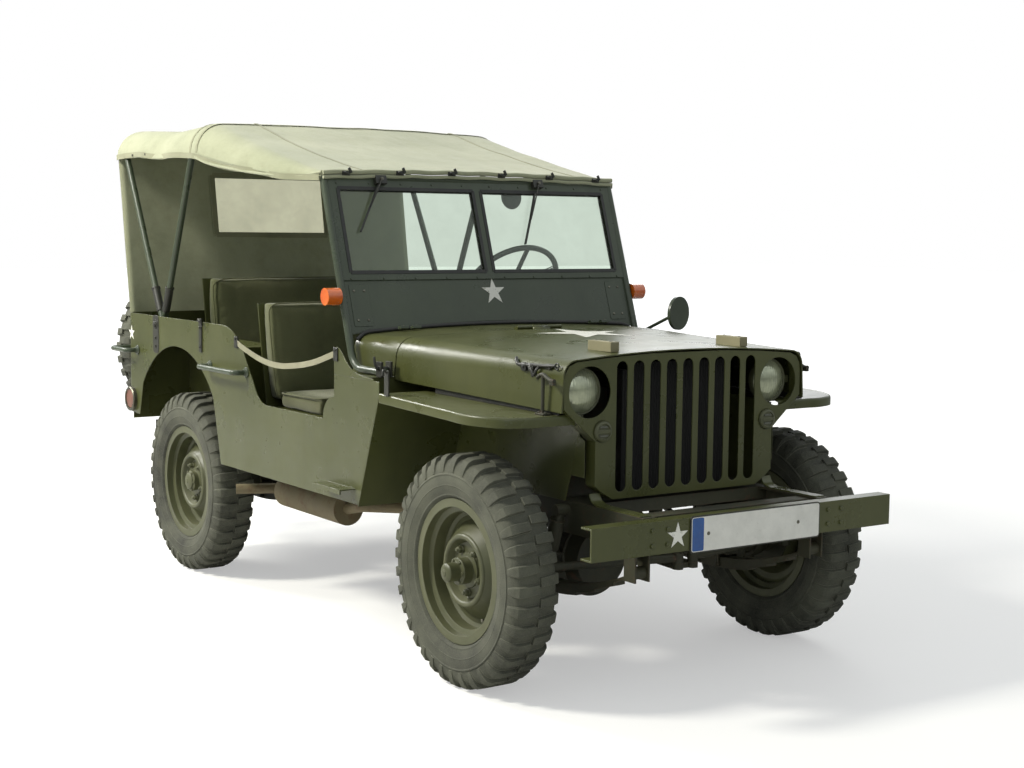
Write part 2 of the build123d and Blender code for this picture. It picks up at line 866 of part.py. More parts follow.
def fender_outline(side, inset=0, overrun=0, mode=Mode.ADD):
    """Fender top seen from above; inset moves its free edges in, overrun its joined ones out."""
    length = (fender_bend - fender_front) / cos(slope)
    outer = body_half - inset
    front = -length + inset
    with BuildLine() as outline:
        Polyline(
            (side * (fender_inner - overrun), overrun),
            (side * outer, overrun),
            (side * outer, front + fender_corner),
            (side * (outer - fender_corner * 0.38), front + fender_corner * 0.27),
            (side * (outer - fender_corner), front),
            (side * (fender_inner - overrun), front),
            close=True,
        )
    make_face(outline.edges(), mode=mode)


with BuildPart() as front_fenders:
    for side in (-1, 1):
        with BuildSketch(fender_top_plane()):
            fender_outline(side)
        extrude(amount=-sheet)
        with BuildSketch(fender_top_plane()):
            fender_outline(side)
            fender_outline(side, sheet, 1, Mode.SUBTRACT)
        extrude(amount=-fender_rim)
        apron_start = side * fender_inner if side > 0 else -body_half
        with BuildSketch(along(apron_start)):
            with BuildLine():
                Polyline(
                    (aft(fender_bend), fender_rear_height),
                    (aft(apron_foot), apron_foot_height),
                    (aft(apron_foot) - sheet * 1.06, apron_foot_height),
                    (aft(fender_bend) - sheet * 1.06, fender_rear_height - sheet * 0.2),
                    close=True,
                )
            make_face()
        extrude(amount=body_half - fender_inner)
        inner_start = side * fender_inner if side > 0 else -fender_inner - sheet
        with BuildSketch(along(inner_start)):
            with BuildLine():
                Polyline(
                    (aft(fender_bend) - 1, fender_rear_height - 1),
                    (aft(apron_foot) - 32, frame_top),
                    (aft(-140), frame_top),
                    (aft(fender_front) + 10, fender_front_height - 1),
                    close=True,
                )
            make_face()
        extrude(amount=sheet)
    with BuildSketch(across(grille_station - gap)):
        with BuildLine():
            Polyline(*grille_outline, close=True)
        make_face()
        offset(amount=gap, kind=Kind.INTERSECTION)
    extrude(amount=-46 - 2 * gap, mode=Mode.SUBTRACT)
finish(front_fenders, "front_fenders")


# Hood and cowl sections: straight sides, rounded shoulders and a slightly crowned top
def crowned_section(half, bottom, shoulder, crown, edge_drop, lean=6):
    """Closed section: half width at the bottom, its height, shoulder radius, crown and edge drop."""
    edge = crown - edge_drop
    with BuildLine() as outline:
        Line((-half, bottom), (-half + lean, edge - shoulder))
        ThreePointArc(
            (-half + lean, edge - shoulder),
            (-half + lean + shoulder * 0.293, edge - shoulder * 0.293),
            (-half + lean + shoulder, edge),
        )
        ThreePointArc(
            (-half + lean + shoulder, edge), (0, crown), (half - lean - shoulder, edge)
        )
        ThreePointArc(
            (half - lean - shoulder, edge),
            (half - lean - shoulder * 0.293, edge - shoulder * 0.293),
            (half - lean, edge - shoulder),
        )
        Line((half - lean, edge - shoulder), (half, bottom))
        Line((half, bottom), (-half, bottom))
    make_face(outline.edges())


# The hinge between them: a barrel on the hood between two on the cowl
hinge_height = cowl_crown + 7
hinge_radius = 6
hinge_half = 34
hinge_leaf = 60
hood_lip = -262
hood_front_bottom = fender_front_height + 10
hood_rear_bottom = ledge_height - 11
hood_rear = seam_station - 3
with BuildPart() as hood:
    with BuildSketch(across(hood_lip)):
        crowned_section(hood_front_half, hood_front_bottom, 50, hood_front_crown, 19)
    with BuildSketch(across(hood_rear)):
        crowned_section(cowl_front_half, hood_rear_bottom, 68, cowl_crown, 14)
    loft()
    with BuildSketch(across(hood_lip - 1)):
        crowned_section(
            hood_front_half - sheet, hood_front_bottom - 18, 50 - sheet, hood_front_crown - sheet, 19
        )
    with BuildSketch(across(hood_rear + 1)):
        crowned_section(
            cowl_front_half - sheet, hood_rear_bottom - 18, 68 - sheet, cowl_crown - sheet, 14
        )
    loft(mode=Mode.SUBTRACT)
    for side in (-1, 1):
        with Locations((side * 300, aft(-190), hood_front_crown - 34)):
            Box(90, 38, 68, align=(Align.CENTER, Align.CENTER, Align.MIN))
    with Locations((0, aft(seam_station), hinge_height)):
        Box(2 * hinge_half, 18, 8, align=(Align.CENTER, Align.MAX, Align.MAX))
    with Locations((0, aft(seam_station), hinge_height)):
        Cylinder(hinge_radius, 2 * hinge_half, rotation=(0, 90, 0))
finish(hood, "hood")

# Cowl: arched top between the hood and the windshield, firewall, ledges and dash
cowl_front = seam_station + 3
column_line = Plane(
    origin=(steering_x, aft(steering_wheel_station), steering_wheel_height),
    x_dir=(1, 0, 0),
    z_dir=(0, -cos(radians(column_angle)), -sin(radians(column_angle))),
)
with BuildPart() as cowl:
    with BuildSketch(across(cowl_front)):
        crowned_section(cowl_front_half, ledge_height - sheet, 68, cowl_crown, 14)
    with BuildSketch(across(dash_station)):
        crowned_section(cowl_rear_half, ledge_height - sheet, 50, cowl_crown + 2, 18)
    loft()
    with BuildSketch(across(cowl_front + sheet)):
        crowned_section(
            cowl_front_half - sheet, ledge_height - 30, 68 - sheet, cowl_crown - sheet, 14
        )
    with BuildSketch(across(dash_station - sheet)):
        crowned_section(
            cowl_rear_half - sheet, ledge_height - 30, 50 - sheet, cowl_crown + 2 - sheet, 18
        )
    loft(mode=Mode.SUBTRACT)
    with BuildSketch(across(cowl_front)):
        with Locations((0, frame_top)):
            Rectangle(
                2 * (body_half - sheet),
                ledge_height - frame_top,
                align=(Align.CENTER, Align.MIN),
            )
    extrude(amount=-sheet)
    for side in (-1, 1):
        ledge_x = side * (body_half - sheet)
        with Locations((ledge_x, aft(cowl_front), ledge_height)):
            Box(
                body_half - sheet - cowl_front_half + 8,
                door_front - cowl_front,
                sheet,
                align=(Align.MAX if side > 0 else Align.MIN, Align.MIN, Align.MAX),
            )
    for side in (-1, 1):
        hinge_x = side * (hinge_half + gap + hinge_leaf / 2)
        with Locations((hinge_x, aft(seam_station), hinge_height)):
            Box(hinge_leaf, 18, 8, align=(Align.CENTER, Align.MIN, Align.MAX))
        with Locations((hinge_x, aft(seam_station), hinge_height)):
            Cylinder(hinge_radius, hinge_leaf, rotation=(0, 90, 0))
    with BuildSketch(column_line):
        Circle(column_radius + 2)
    extrude(amount=1000, mode=Mode.SUBTRACT)
finish(cowl, "cowl")

# Floor: flat tub floor on the frame with a sloping toe board
toe_top = 740
toe_foot = 800
with BuildPart() as floor:
    with Locations((0, aft(cowl_front + sheet), frame_top)):
        Box(
            2 * (body_half - sheet),
            wheelbase - 432 - cowl_front - sheet,
            sheet,
            align=(Align.CENTER, Align.MIN, Align.MIN),
        )
    with Locations((0, aft(wheelbase - 432), frame_top)):
        Box(
            2 * (wheelhouse_half - gap),
            tub_rear - sheet - wheelbase + 432,
            sheet,
            align=(Align.CENTER, Align.MIN, Align.MIN),
        )
    with Locations((0, aft(tub_rear - corner_radius - 5) + gap, frame_top)):
        Box(
            2 * (body_half - corner_radius),
            corner_radius + 5 - sheet - gap,
            sheet,
            align=(Align.CENTER, Align.MIN, Align.MIN),
        )
    with BuildSketch(along(-body_half + sheet)):
        with BuildLine():
            Polyline(
                (aft(cowl_front) + sheet, toe_top),
                (aft(toe_foot), frame_top + sheet),
                (aft(toe_foot) - 6, frame_top + sheet),
                (aft(cowl_front) + sheet, toe_top - 5),
                close=True,
            )
        make_face()
    extrude(amount=2 * (body_half - sheet))
    with BuildSketch(column_line):
        Circle(column_radius + 2)
    extrude(amount=1000, mode=Mode.SUBTRACT)
finish(floor, "floor")


# Body sides: outline with the door opening and the wheel arch, and the rounded rear corner
def side_outline():
    arch = wheelbase
    front_top = aft(fender_bend) + gap + 0.1
    front_foot = front_top + (fender_rear_height - sill_bottom) / tan(apron_slope)
    with BuildLine() as outline:
        Line((front_foot, sill_bottom), (front_top, fender_rear_height))
        Line((front_top, fender_rear_height), (front_top, ledge_height))
        Line((front_top, ledge_height), (aft(door_front), ledge_height))
        Line((aft(door_front), ledge_height), (aft(door_front), door_bottom + 80))
        RadiusArc((aft(door_front), door_bottom + 80), (aft(door_front) + 80, door_bottom), 80)
        Line((aft(door_front) + 80, door_bottom), (aft(door_rear_low) - 80, door_bottom))
        ThreePointArc(
            (aft(door_rear_low) - 80, door_bottom),
            (aft(door_rear_low) - 22, door_bottom + 18),
            (aft(door_rear_low) + 16, door_bottom + 58),
        )
        Line(
            (aft(door_rear_low) + 16, door_bottom + 58), (aft(door_rear_high), tub_top - 76)
        )
        ThreePointArc(
            (aft(door_rear_high), tub_top - 76),
            (aft(door_rear_high) + 76, tub_top - 22),
            (aft(door_rear_top), tub_top),
        )
        Line((aft(door_rear_top), tub_top), (aft(tub_rear) - corner_radius, tub_top))
        Line(
            (aft(tub_rear) - corner_radius, tub_top), (aft(tub_rear) - corner_radius, 600)
        )
        Line((aft(tub_rear) - corner_radius, 600), (aft(arch + 392), 596))
        Line((aft(arch + 392), 596), (aft(arch + 352), 735))
        ThreePointArc(
            (aft(arch + 352), 735), (aft(arch), arch_top), (aft(arch - 352), 735)
        )
        Line((aft(arch - 352), 735), (aft(arch - 420), sill_bottom))
        Line((aft(arch - 420), sill_bottom), (front_foot, sill_bottom))
    make_face(outline.edges())


for side, name in ((-1, "right"), (1, "left")):
    with BuildPart() as body_side:
        with BuildSketch(along(-body_half if side < 0 else body_half - sheet)):
            side_outline()
        extrude(amount=sheet)
        corner = (side * (body_half - corner_radius), aft(tub_rear) - corner_radius)
        with BuildSketch(Plane.XY.offset(600)):
            with Locations(corner):
                Circle(corner_radius)
                Circle(corner_radius - sheet, mode=Mode.SUBTRACT)
            with Locations((corner[0], corner[1] + corner_radius)):
                Rectangle(
                    2 * corner_radius,
                    2 * corner_radius,
                    align=(Align.MAX if side > 0 else Align.MIN, Align.CENTER),
                    mode=Mode.SUBTRACT,
                )
            with Locations(corner):
                Rectangle(
                    4 * corner_radius,
                    2 * corner_radius,
                    align=(Align.CENTER, Align.MAX),
                    mode=Mode.SUBTRACT,
                )
        extrude(amount=tub_top - 600)
        outwards, inwards = (Align.MIN, Align.MAX) if side > 0 else (Align.MAX, Align.MIN)
        with Locations((side * (body_half - 1), aft(step_station), step_height)):
            Box(step_reach + 1, step_length, sheet, align=(outwards, Align.CENTER, Align.MAX))
        with Locations((side * (body_half + step_reach), aft(step_station), step_height)):
            Box(sheet, step_length, step_lip, align=(inwards, Align.CENTER, Align.MAX))
    finish(body_side, f"body_side_{name}")

# Rear panel between the corners, with the bracket of the spare wheel
panel_half = body_half - corner_radius
with BuildPart() as rear_panel:
    with Locations((0, aft(tub_rear), frame_top)):
        Box(
            2 * panel_half,
            sheet,
            tub_top - frame_top,
            align=(Align.CENTER, Align.MAX, Align.MIN),
        )
    carrier_y = spare_centre[1] + disc_seat - gap
    with Locations(Plane(origin=(spare_x, aft(tub_rear), spare_height), z_dir=(0, 1, 0))):
        Cylinder(60, carrier_y - aft(tub_rear), align=(Align.CENTER, Align.CENTER, Align.MIN))
finish(rear_panel, "rear_panel")

# Wheelhouses: boxes over the rear wheels, open below and at the wheel arch
house_front = wheelbase - 432
house_rear = tub_rear - corner_radius - 5
house_width = body_half - sheet - gap - wheelhouse_half
with BuildPart() as wheelhouses:
    for side in (-1, 1):
        inward = Align.MIN if side > 0 else Align.MAX
        with Locations((side * wheelhouse_half, aft(house_front), frame_top)):
            Box(
                house_width,
                house_rear - house_front,
                wheelhouse_height - frame_top,
                align=(inward, Align.MIN, Align.MIN),
            )
        with Locations((side * (wheelhouse_half + sheet), aft(house_front) + sheet, frame_top - 1)):
            Box(
                house_width,
                house_rear - house_front - 2 * sheet,
                wheelhouse_height - frame_top - sheet + 1,
                align=(inward, Align.MIN, Align.MIN),
                mode=Mode.SUBTRACT,
            )
finish(wheelhouses, "wheelhouses")

# Windshield: hinged tube frame with a lower panel and two framed panes
lean = atan2(screen_top_station - screen_foot_station, screen_top_height - screen_foot_height)


def screen_plane(shift=0):
    """Plane of the windshield: local y runs up its slope from the foot of the tubes."""
    return Plane(
        origin=(0, aft(screen_foot_station), screen_foot_height),
        x_dir=(1, 0, 0),
        z_dir=(0, -cos(lean), sin(lean)),
    ).offset(shift)


def up(height):
    """Distance up the windshield's slope for a height."""
    return (height - screen_foot_height) / cos(lean)


panel_corner = screen_foot_height + 123
panel_middle = screen_foot_height + 157
frame_bar = 30
pane_bottom = up(panel_top_height) + frame_bar
pane_top = up(screen_top_height) - screen_tube - frame_bar
inner_half = screen_half - screen_tube
with BuildPart() as windshield_frame:
    for side in (-1, 1):
        with BuildLine() as tube:
            FilletPolyline(
                (side * screen_half, aft(cowl_front + 22), screen_foot_height + screen_tube + gap),
                (side * screen_half, aft(screen_foot_station), screen_foot_height + screen_tube + gap),
                (side * screen_half, aft(screen_top_station), screen_top_height),
                radius=75,
            )
        with BuildSketch(Plane(origin=tube.line @ 0, z_dir=tube.line % 0)):
            Circle(screen_tube)
        sweep(path=tube.line)
    with Locations((0, aft(screen_top_station), screen_top_height)):
        Cylinder(screen_tube, 2 * screen_half, rotation=(0, 90, 0))
        with Locations((-screen_half, 0, 0), (screen_half, 0, 0)):
            Sphere(screen_tube)
    with BuildSketch(screen_plane(-2)):
        with BuildLine():
            Line(
                (-inner_half - 4, up(panel_corner)),
                (-inner_half - 4, up(panel_top_height) + frame_bar),
            )
            Line(
                (-inner_half - 4, up(panel_top_height) + frame_bar),
                (inner_half + 4, up(panel_top_height) + frame_bar),
            )
            Line(
                (inner_half + 4, up(panel_top_height) + frame_bar),
                (inner_half + 4, up(panel_corner)),
            )
            ThreePointArc(
                (inner_half + 4, up(panel_corner)),
                (0, up(panel_middle)),
                (-inner_half - 4, up(panel_corner)),
            )
        make_face()
    extrude(amount=sheet)
    with BuildSketch(screen_plane(-8)):
        with Locations((0, (up(panel_top_height) + up(screen_top_height)) / 2)):
            Rectangle(2 * inner_half + 8, up(screen_top_height) - up(panel_top_height))
        pane_width = inner_half - 1.5 * frame_bar
        for side in (-1, 1):
            with Locations((side * (pane_width + frame_bar) / 2, (pane_bottom + pane_top) / 2)):
                Rectangle(pane_width, pane_top - pane_bottom, mode=Mode.SUBTRACT)
    extrude(amount=16)
finish(windshield_frame, "windshield_frame")

with BuildPart() as windshield_glass:
    with BuildSketch(screen_plane(-3)):
        for side in (-1, 1):
            with Locations((side * (pane_width + frame_bar) / 2, (pane_bottom + pane_top) / 2)):
                Rectangle(pane_width, pane_top - pane_bottom)
    extrude(amount=6)
finish(windshield_glass, "windshield_glass")

# Top bows: two tube hoops that meet at one bracket on each side
bow_shoulder = 110
with BuildPart() as top_bows:
    for station in (front_bow_station, rear_bow_station):
        with BuildLine() as hoop:
            FilletPolyline(
                (-bow_x, aft(bow_pivot_station), bow_pivot_height),
                (-bow_x, aft(station), bow_height),
                (bow_x, aft(station), bow_height),
                (bow_x, aft(bow_pivot_station), bow_pivot_height),
                radius=bow_shoulder,
            )
        with BuildSketch(Plane(origin=hoop.line @ 0, z_dir=hoop.line % 0)):
            Circle(bow_tube)
        sweep(path=hoop.line)
    for side in (-1, 1):
        with Locations((side * (bow_x + (body_half - sheet)) / 2, aft(bow_pivot_station), bow_pivot_height)):
            Cylinder(26, body_half - sheet - bow_x, rotation=(0, 90, 0))
        with Locations((side * bow_x, aft(bow_pivot_station), bow_pivot_height)):
            Cylinder(26, 2 * bow_tube + 4, rotation=(0, 90, 0))
finish(top_bows, "top_bows")


# Canvas: one sheet over the bows down to the windshield, and the rear curtain
def canvas_section(half, hem, crown, shoulder):
    with BuildLine() as outline:
        Line((-half, hem), (-half, crown - 10 - shoulder))
        ThreePointArc(
            (-half, crown - 10 - shoulder),
            (-half + shoulder * 0.293, crown - 10 - shoulder * 0.293),
            (-half + shoulder, crown - 10),
        )
        ThreePointArc((-half + shoulder, crown - 10), (0, crown), (half - shoulder, crown - 10))
        ThreePointArc(
            (half - shoulder, crown - 10),
            (half - shoulder * 0.293, crown - 10 - shoulder * 0.293),
            (half, crown - 10 - shoulder),
        )
        Line((half, crown - 10 - shoulder), (half, hem))
        Line((half, hem), (-half, hem))
    make_face(outline.edges())


# Canvas sections: station, inside half width, hem, inside crown, shoulder radius
bow_inside = bow_x + bow_tube + gap
canvas_rear = rear_bow_station + bow_tube + gap
canvas_front = screen_top_station - 6
canvas_sections = [
    (canvas_front, screen_half + screen_tube + gap, screen_top_height - 15, screen_top_height + screen_tube + 12, 16),
    (front_bow_station, bow_inside, bow_height - 126, bow_height + bow_tube + 14, 112),
    (canvas_rear, bow_inside, bow_height - 106, bow_height + bow_tube + 14, 112),
]
curtain_top = bow_height - 72
curtain_foot = 960
curtain_foot_station = tub_rear + 2
window_half = 280
window_low = 1345
window_high = 1615
with BuildPart() as canvas_top:
    for start, end in ((0, 1), (1, 2)):
        for grow, cut in ((canvas, False), (0, True)):
            for station, half, hem, crown, shoulder in (canvas_sections[start], canvas_sections[end]):
                with BuildSketch(across(station)):
                    canvas_section(half + grow, hem - (20 if cut else 0), crown + grow, shoulder + grow)
            loft(mode=Mode.SUBTRACT if cut else Mode.ADD)
    with BuildSketch(across(canvas_rear)):
        canvas_section(bow_inside + canvas, bow_height - 106, bow_height + bow_tube + 14 + canvas, 112 + canvas)
    extrude(amount=-canvas)
    with BuildSketch(along(-bow_inside)):
        with BuildLine():
            Polyline(
                (aft(canvas_rear), curtain_top),
                (aft(canvas_rear) + canvas, curtain_top),
                (aft(curtain_foot_station) + canvas, curtain_foot),
                (aft(curtain_foot_station), curtain_foot),
                close=True,
            )
        make_face()
    extrude(amount=2 * bow_inside)
    with Locations((0, aft(canvas_rear), window_low)):
        Box(
            2 * window_half,
            400,
            window_high - window_low,
            align=(Align.CENTER, Align.CENTER, Align.MIN),
            mode=Mode.SUBTRACT,
        )
finish(canvas_top, "canvas_top")


def curtain_y(height):
    """Own-frame y of the rear curtain's inside face at a height."""
    share = (height - curtain_foot) / (curtain_top - curtain_foot)
    return aft(curtain_foot_station + share * (canvas_rear - curtain_foot_station))


# Clear sheet in the curtain's window
with BuildPart() as rear_window:
    with BuildSketch(along(-window_half + gap)):
        with BuildLine():
            Polyline(
                (curtain_y(window_low + gap) + 2, window_low + gap),
                (curtain_y(window_high - gap) + 2, window_high - gap),
                (curtain_y(window_high - gap) + 4, window_high - gap),
                (curtain_y(window_low + gap) + 4, window_low + gap),
                close=True,
            )
        make_face()
    extrude(amount=2 * (window_half - gap))
finish(rear_window, "rear_window")

# Seats: bent sheet frames with cushions
seat_width = 430
seat_inner = 205
seat_front = 985
seat_rear = 1400
seat_base = 790
seat_back_top = 1125
cushion = 62
back_lean = 70
seat_x = seat_inner + seat_width / 2
bench_width = 2 * wheelhouse_half - 30
# Seats: centre x, front station, rear station, sheet's height, back's top, width
seats = [
    (-seat_x, seat_front, seat_rear, seat_base - cushion, seat_back_top, seat_width),
    (seat_x, seat_front, seat_rear, seat_base - cushion, seat_back_top, seat_width),
    (0, 1960, 2330, seat_base, 1185, bench_width),
]
with BuildPart() as seat_frames:
    for x, front, rear, base, top, width in seats:
        with BuildSketch(along(x - width / 2)):
            with BuildLine():
                Polyline(
                    (aft(front), base),
                    (aft(rear), base),
                    (aft(rear) + back_lean, top - 20),
                    (aft(rear) + back_lean + 6, top - 20),
                    (aft(rear) + 6, base - 6),
                    (aft(front), base - 6),
                    close=True,
                )
            make_face()
        extrude(amount=width)
        for foot in (-1, 1):
            for station in (front + 20, rear - 40):
                with Locations((x + foot * (width / 2 - 16), aft(station), frame_top + sheet)):
                    Box(
                        24,
                        24,
                        base - 4 - frame_top - sheet,
                        align=(Align.CENTER, Align.CENTER, Align.MIN),
                    )
finish(seat_frames, "seat_frames")

with BuildPart() as seat_cushions:
    for x, front, rear, base, top, width in seats:
        with BuildSketch(along(x - width / 2)):
            with BuildLine():
                Polyline(
                    (aft(front) + 4, base + gap),
                    (aft(rear) - cushion - 16, base + gap),
                    (aft(rear) - cushion - 10, base + cushion),
                    (aft(front) + 4, base + cushion + 6),
                    close=True,
                )
            make_face()
            lean_rate = back_lean / (top - 20 - base)
            back_foot = aft(rear) + 12 * lean_rate - 0.5
            back_head = aft(rear) + back_lean - 0.5
            with BuildLine():
                Polyline(
                    (back_foot, base + 12),
                    (back_head, top - 20),
                    (back_head - 10, top),
                    (back_head - 40, top - 6),
                    (back_foot - cushion, base + 12),
                    close=True,
                )
            make_face()
        extrude(amount=width)
finish(seat_cushions, "seat_cushions")

# Steering column with its box on the left rail, and the steering wheel
column_length = (steering_wheel_station - pitman_station - 10) / cos(radians(column_angle))
with BuildPart() as steering_column:
    with BuildSketch(column_line.offset(60)):
        Circle(column_radius)
    extrude(amount=column_length - 60)
    with Locations((rail_outer - rail_width, aft(pitman_station), pitman_shaft_height)):
        Box(62, 90, 84, align=(Align.MAX, Align.CENTER, Align.CENTER))
    with Locations(
        Plane(origin=(rail_outer - rail_width, aft(pitman_station), pitman_shaft_height), z_dir=(1, 0, 0))
    ):
        Cylinder(
            14,
            pitman_x - gap - rail_outer + rail_width,
            align=(Align.CENTER, Align.CENTER, Align.MIN),
        )
finish(steering_column, "steering_column")

with BuildPart() as steering_wheel:
    with BuildSketch(column_line.offset(-6)):
        Circle(34)
    extrude(amount=60 + 6 - gap)
    with BuildSketch(Plane(origin=column_line.origin, x_dir=(1, 0, 0), z_dir=column_line.y_dir)):
        with Locations((steering_wheel_radius, 0)):
            Circle(11)
    revolve(axis=Axis(column_line.origin, column_line.z_dir))
    with BuildSketch(column_line.offset(-4)):
        with PolarLocations((steering_wheel_radius) / 2, 3, start_angle=90):
            Rectangle(steering_wheel_radius, 16)
    extrude(amount=8)
finish(steering_wheel, "steering_wheel")


# Grab handles: bent tubes on the sides and round the rear corners
def tube_along(points, radius, bend):
    with BuildLine() as path:
        FilletPolyline(*points, radius=bend)
    with BuildSketch(Plane(origin=path.line @ 0, z_dir=path.line % 0)) as ring:
        Circle(radius)
    sweep(ring.sketch, path=path.line)


handle_reach = 52
handle_height = 856
handle_front = 1384
handle_rear = 1706
with BuildPart() as grab_handles:
    for side in (-1, 1):
        out = side * (body_half + handle_reach)
        skin = side * body_half
        tube_along(
            [
                (skin, aft(handle_front), handle_height),
                (out, aft(handle_front), handle_height),
                (out, aft(handle_rear), handle_height),
                (skin, aft(handle_rear), handle_height),
            ],
            10,
            20,
        )
        tube_along(
            [
                (skin, aft(2440), handle_height + 10),
                (out, aft(2440), handle_height + 10),
                (out, aft(tub_rear + 46), handle_height + 10),
                (side * (panel_half - 10), aft(tub_rear + 46), handle_height + 10),
                (side * (panel_half - 10), aft(tub_rear), handle_height + 10),
            ],
            10,
            26,
        )
finish(grab_handles, "grab_handles")

# Rear bumperettes and tow eye on the frame's rear member
bumper_seat = aft(tub_rear) - sheet + gap
tow_height = 520
tow_reach = 72
tow_eye = 30
tow_hole = 20
with BuildPart() as rear_bumpers:
    for side in (-1, 1):
        tube_along(
            [
                (side * 560, bumper_seat, 520),
                (side * 560, aft(tub_rear + 70), 520),
                (side * 330, aft(tub_rear + 70), 520),
                (side * 330, bumper_seat, 520),
            ],
            18,
            40,
        )
    with Locations((0, bumper_seat, tow_height)):
        Box(90, 16, 56, align=(Align.CENTER, Align.MIN, Align.CENTER))
        Box(60, tow_reach, tow_eye, align=(Align.CENTER, Align.MIN, Align.CENTER))
    with Locations((0, bumper_seat + tow_reach, tow_height)):
        Cylinder(tow_hole + 14, tow_eye)
        Cylinder(tow_hole, tow_eye, mode=Mode.SUBTRACT)
finish(rear_bumpers, "rear_bumpers")

# Tail lamps on the rear panel and round reflectors on the rear corners
with BuildPart() as tail_lamps:
    for side in (-1, 1):
        with Locations(Plane(origin=(side * 620, aft(tub_rear), 690), z_dir=(0, 1, 0))):
            Cylinder(38, 55, align=(Align.CENTER, Align.CENTER, Align.MIN))
        with Locations(Plane(origin=(side * body_half, aft(tub_rear - 62), 660), z_dir=(side, 0, 0))):
            Cylinder(42, 14, align=(Align.CENTER, Align.CENTER, Align.MIN))
finish(tail_lamps, "tail_lamps")

# Amber indicators on the windshield's side tubes
indicator_height = 1158
indicator_station = screen_foot_station + (indicator_height - screen_foot_height) * tan(lean)
with BuildPart() as indicators:
    for side in (-1, 1):
        with Locations(
            Plane(
                origin=(
                    side * (screen_half + screen_tube + gap),
                    aft(indicator_station),
                    indicator_height,
                ),
                z_dir=(side, 0, 0),
            )
        ):
            Cylinder(30, 54, align=(Align.CENTER, Align.CENTER, Align.MIN))
finish(indicators, "indicators")

# Round mirror on an arm from the driver's side of the windshield
mirror_rise = 95  # clamp's height above the windshield's foot
clamp_y = aft(screen_foot_station) + mirror_rise * tan(lean)
clamp_height = screen_foot_height + mirror_rise
mirror_centre = (screen_half + 68, clamp_y - 166, clamp_height + 84)
with BuildPart() as mirror_piece:
    with BuildSketch(Plane(origin=mirror_centre, z_dir=(sin(radians(15)), -cos(radians(15)), 0))):
        Circle(63)
    extrude(amount=12)
    arm_start = Vector(screen_half + screen_tube + 8, clamp_y, clamp_height)
    with Locations((screen_half + screen_tube + gap, clamp_y, clamp_height)):
        Box(14, 26, 26, align=(Align.MIN, Align.CENTER, Align.CENTER))
    arm_end = Vector(*mirror_centre)
    with BuildSketch(Plane(origin=arm_start, z_dir=arm_end - arm_start)):
        Circle(6)
    extrude(amount=(arm_end - arm_start).length)
finish(mirror_piece, "mirror")
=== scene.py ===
"""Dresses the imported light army 4x4 car: materials, tyres, canvas, seats, glass and fittings."""
import math

import bmesh
import bpy
from mathutils import Matrix, Vector, noise
from mathutils.bvhtree import BVHTree


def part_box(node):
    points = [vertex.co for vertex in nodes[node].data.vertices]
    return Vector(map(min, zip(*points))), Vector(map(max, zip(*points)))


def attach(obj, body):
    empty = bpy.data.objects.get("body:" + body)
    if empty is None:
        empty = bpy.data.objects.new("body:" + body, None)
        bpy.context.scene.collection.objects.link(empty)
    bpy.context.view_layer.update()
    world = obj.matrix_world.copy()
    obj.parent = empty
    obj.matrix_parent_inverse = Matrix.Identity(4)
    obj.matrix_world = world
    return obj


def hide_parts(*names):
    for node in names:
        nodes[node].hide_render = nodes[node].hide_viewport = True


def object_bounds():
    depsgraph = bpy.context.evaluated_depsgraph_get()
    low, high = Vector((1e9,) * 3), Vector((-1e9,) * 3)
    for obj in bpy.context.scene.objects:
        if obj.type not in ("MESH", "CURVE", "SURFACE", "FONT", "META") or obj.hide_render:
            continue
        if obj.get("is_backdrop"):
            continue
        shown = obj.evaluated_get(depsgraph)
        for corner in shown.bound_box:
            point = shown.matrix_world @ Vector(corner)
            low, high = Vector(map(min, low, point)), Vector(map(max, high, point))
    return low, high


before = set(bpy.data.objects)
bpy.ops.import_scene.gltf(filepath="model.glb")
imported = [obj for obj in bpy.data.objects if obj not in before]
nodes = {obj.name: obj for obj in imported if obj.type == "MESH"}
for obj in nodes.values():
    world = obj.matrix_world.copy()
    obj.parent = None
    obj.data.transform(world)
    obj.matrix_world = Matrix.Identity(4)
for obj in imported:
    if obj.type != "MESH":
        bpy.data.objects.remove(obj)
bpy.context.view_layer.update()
X, Y, Z = Vector((1, 0, 0)), Vector((0, 1, 0)), Vector((0, 0, 1))

front_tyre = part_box("tyre_front_left")
FRONT_AXLE = (front_tyre[0].y + front_tyre[1].y) / 2
WHEELBASE = 2.032
SCREEN_FOOT = (0.754, 0.905)
SCREEN_TOP = (0.977, 1.567)
BUMPER_FACE = -0.556
HALF_TRACK, HUB_HEIGHT, RAIL_X = 0.624, 0.360, 0.349
CAMERA_PLACE = (-3.332, -5.2655, 1.413)
CAMERA_TURN = (34.48, 5.57, -0.66)  # yaw, pitch and roll in degrees
CAMERA_LENS = 57.82


def aft(station):
    """y of a station measured in metres rearwards from the front axle."""
    return FRONT_AXLE + station


def at(x, station, z):
    return Vector((x, aft(station), z))


def link(name, data):
    """A new object in the scene."""
    thing = bpy.data.objects.new(name, data)
    bpy.context.scene.collection.objects.link(thing)
    return thing


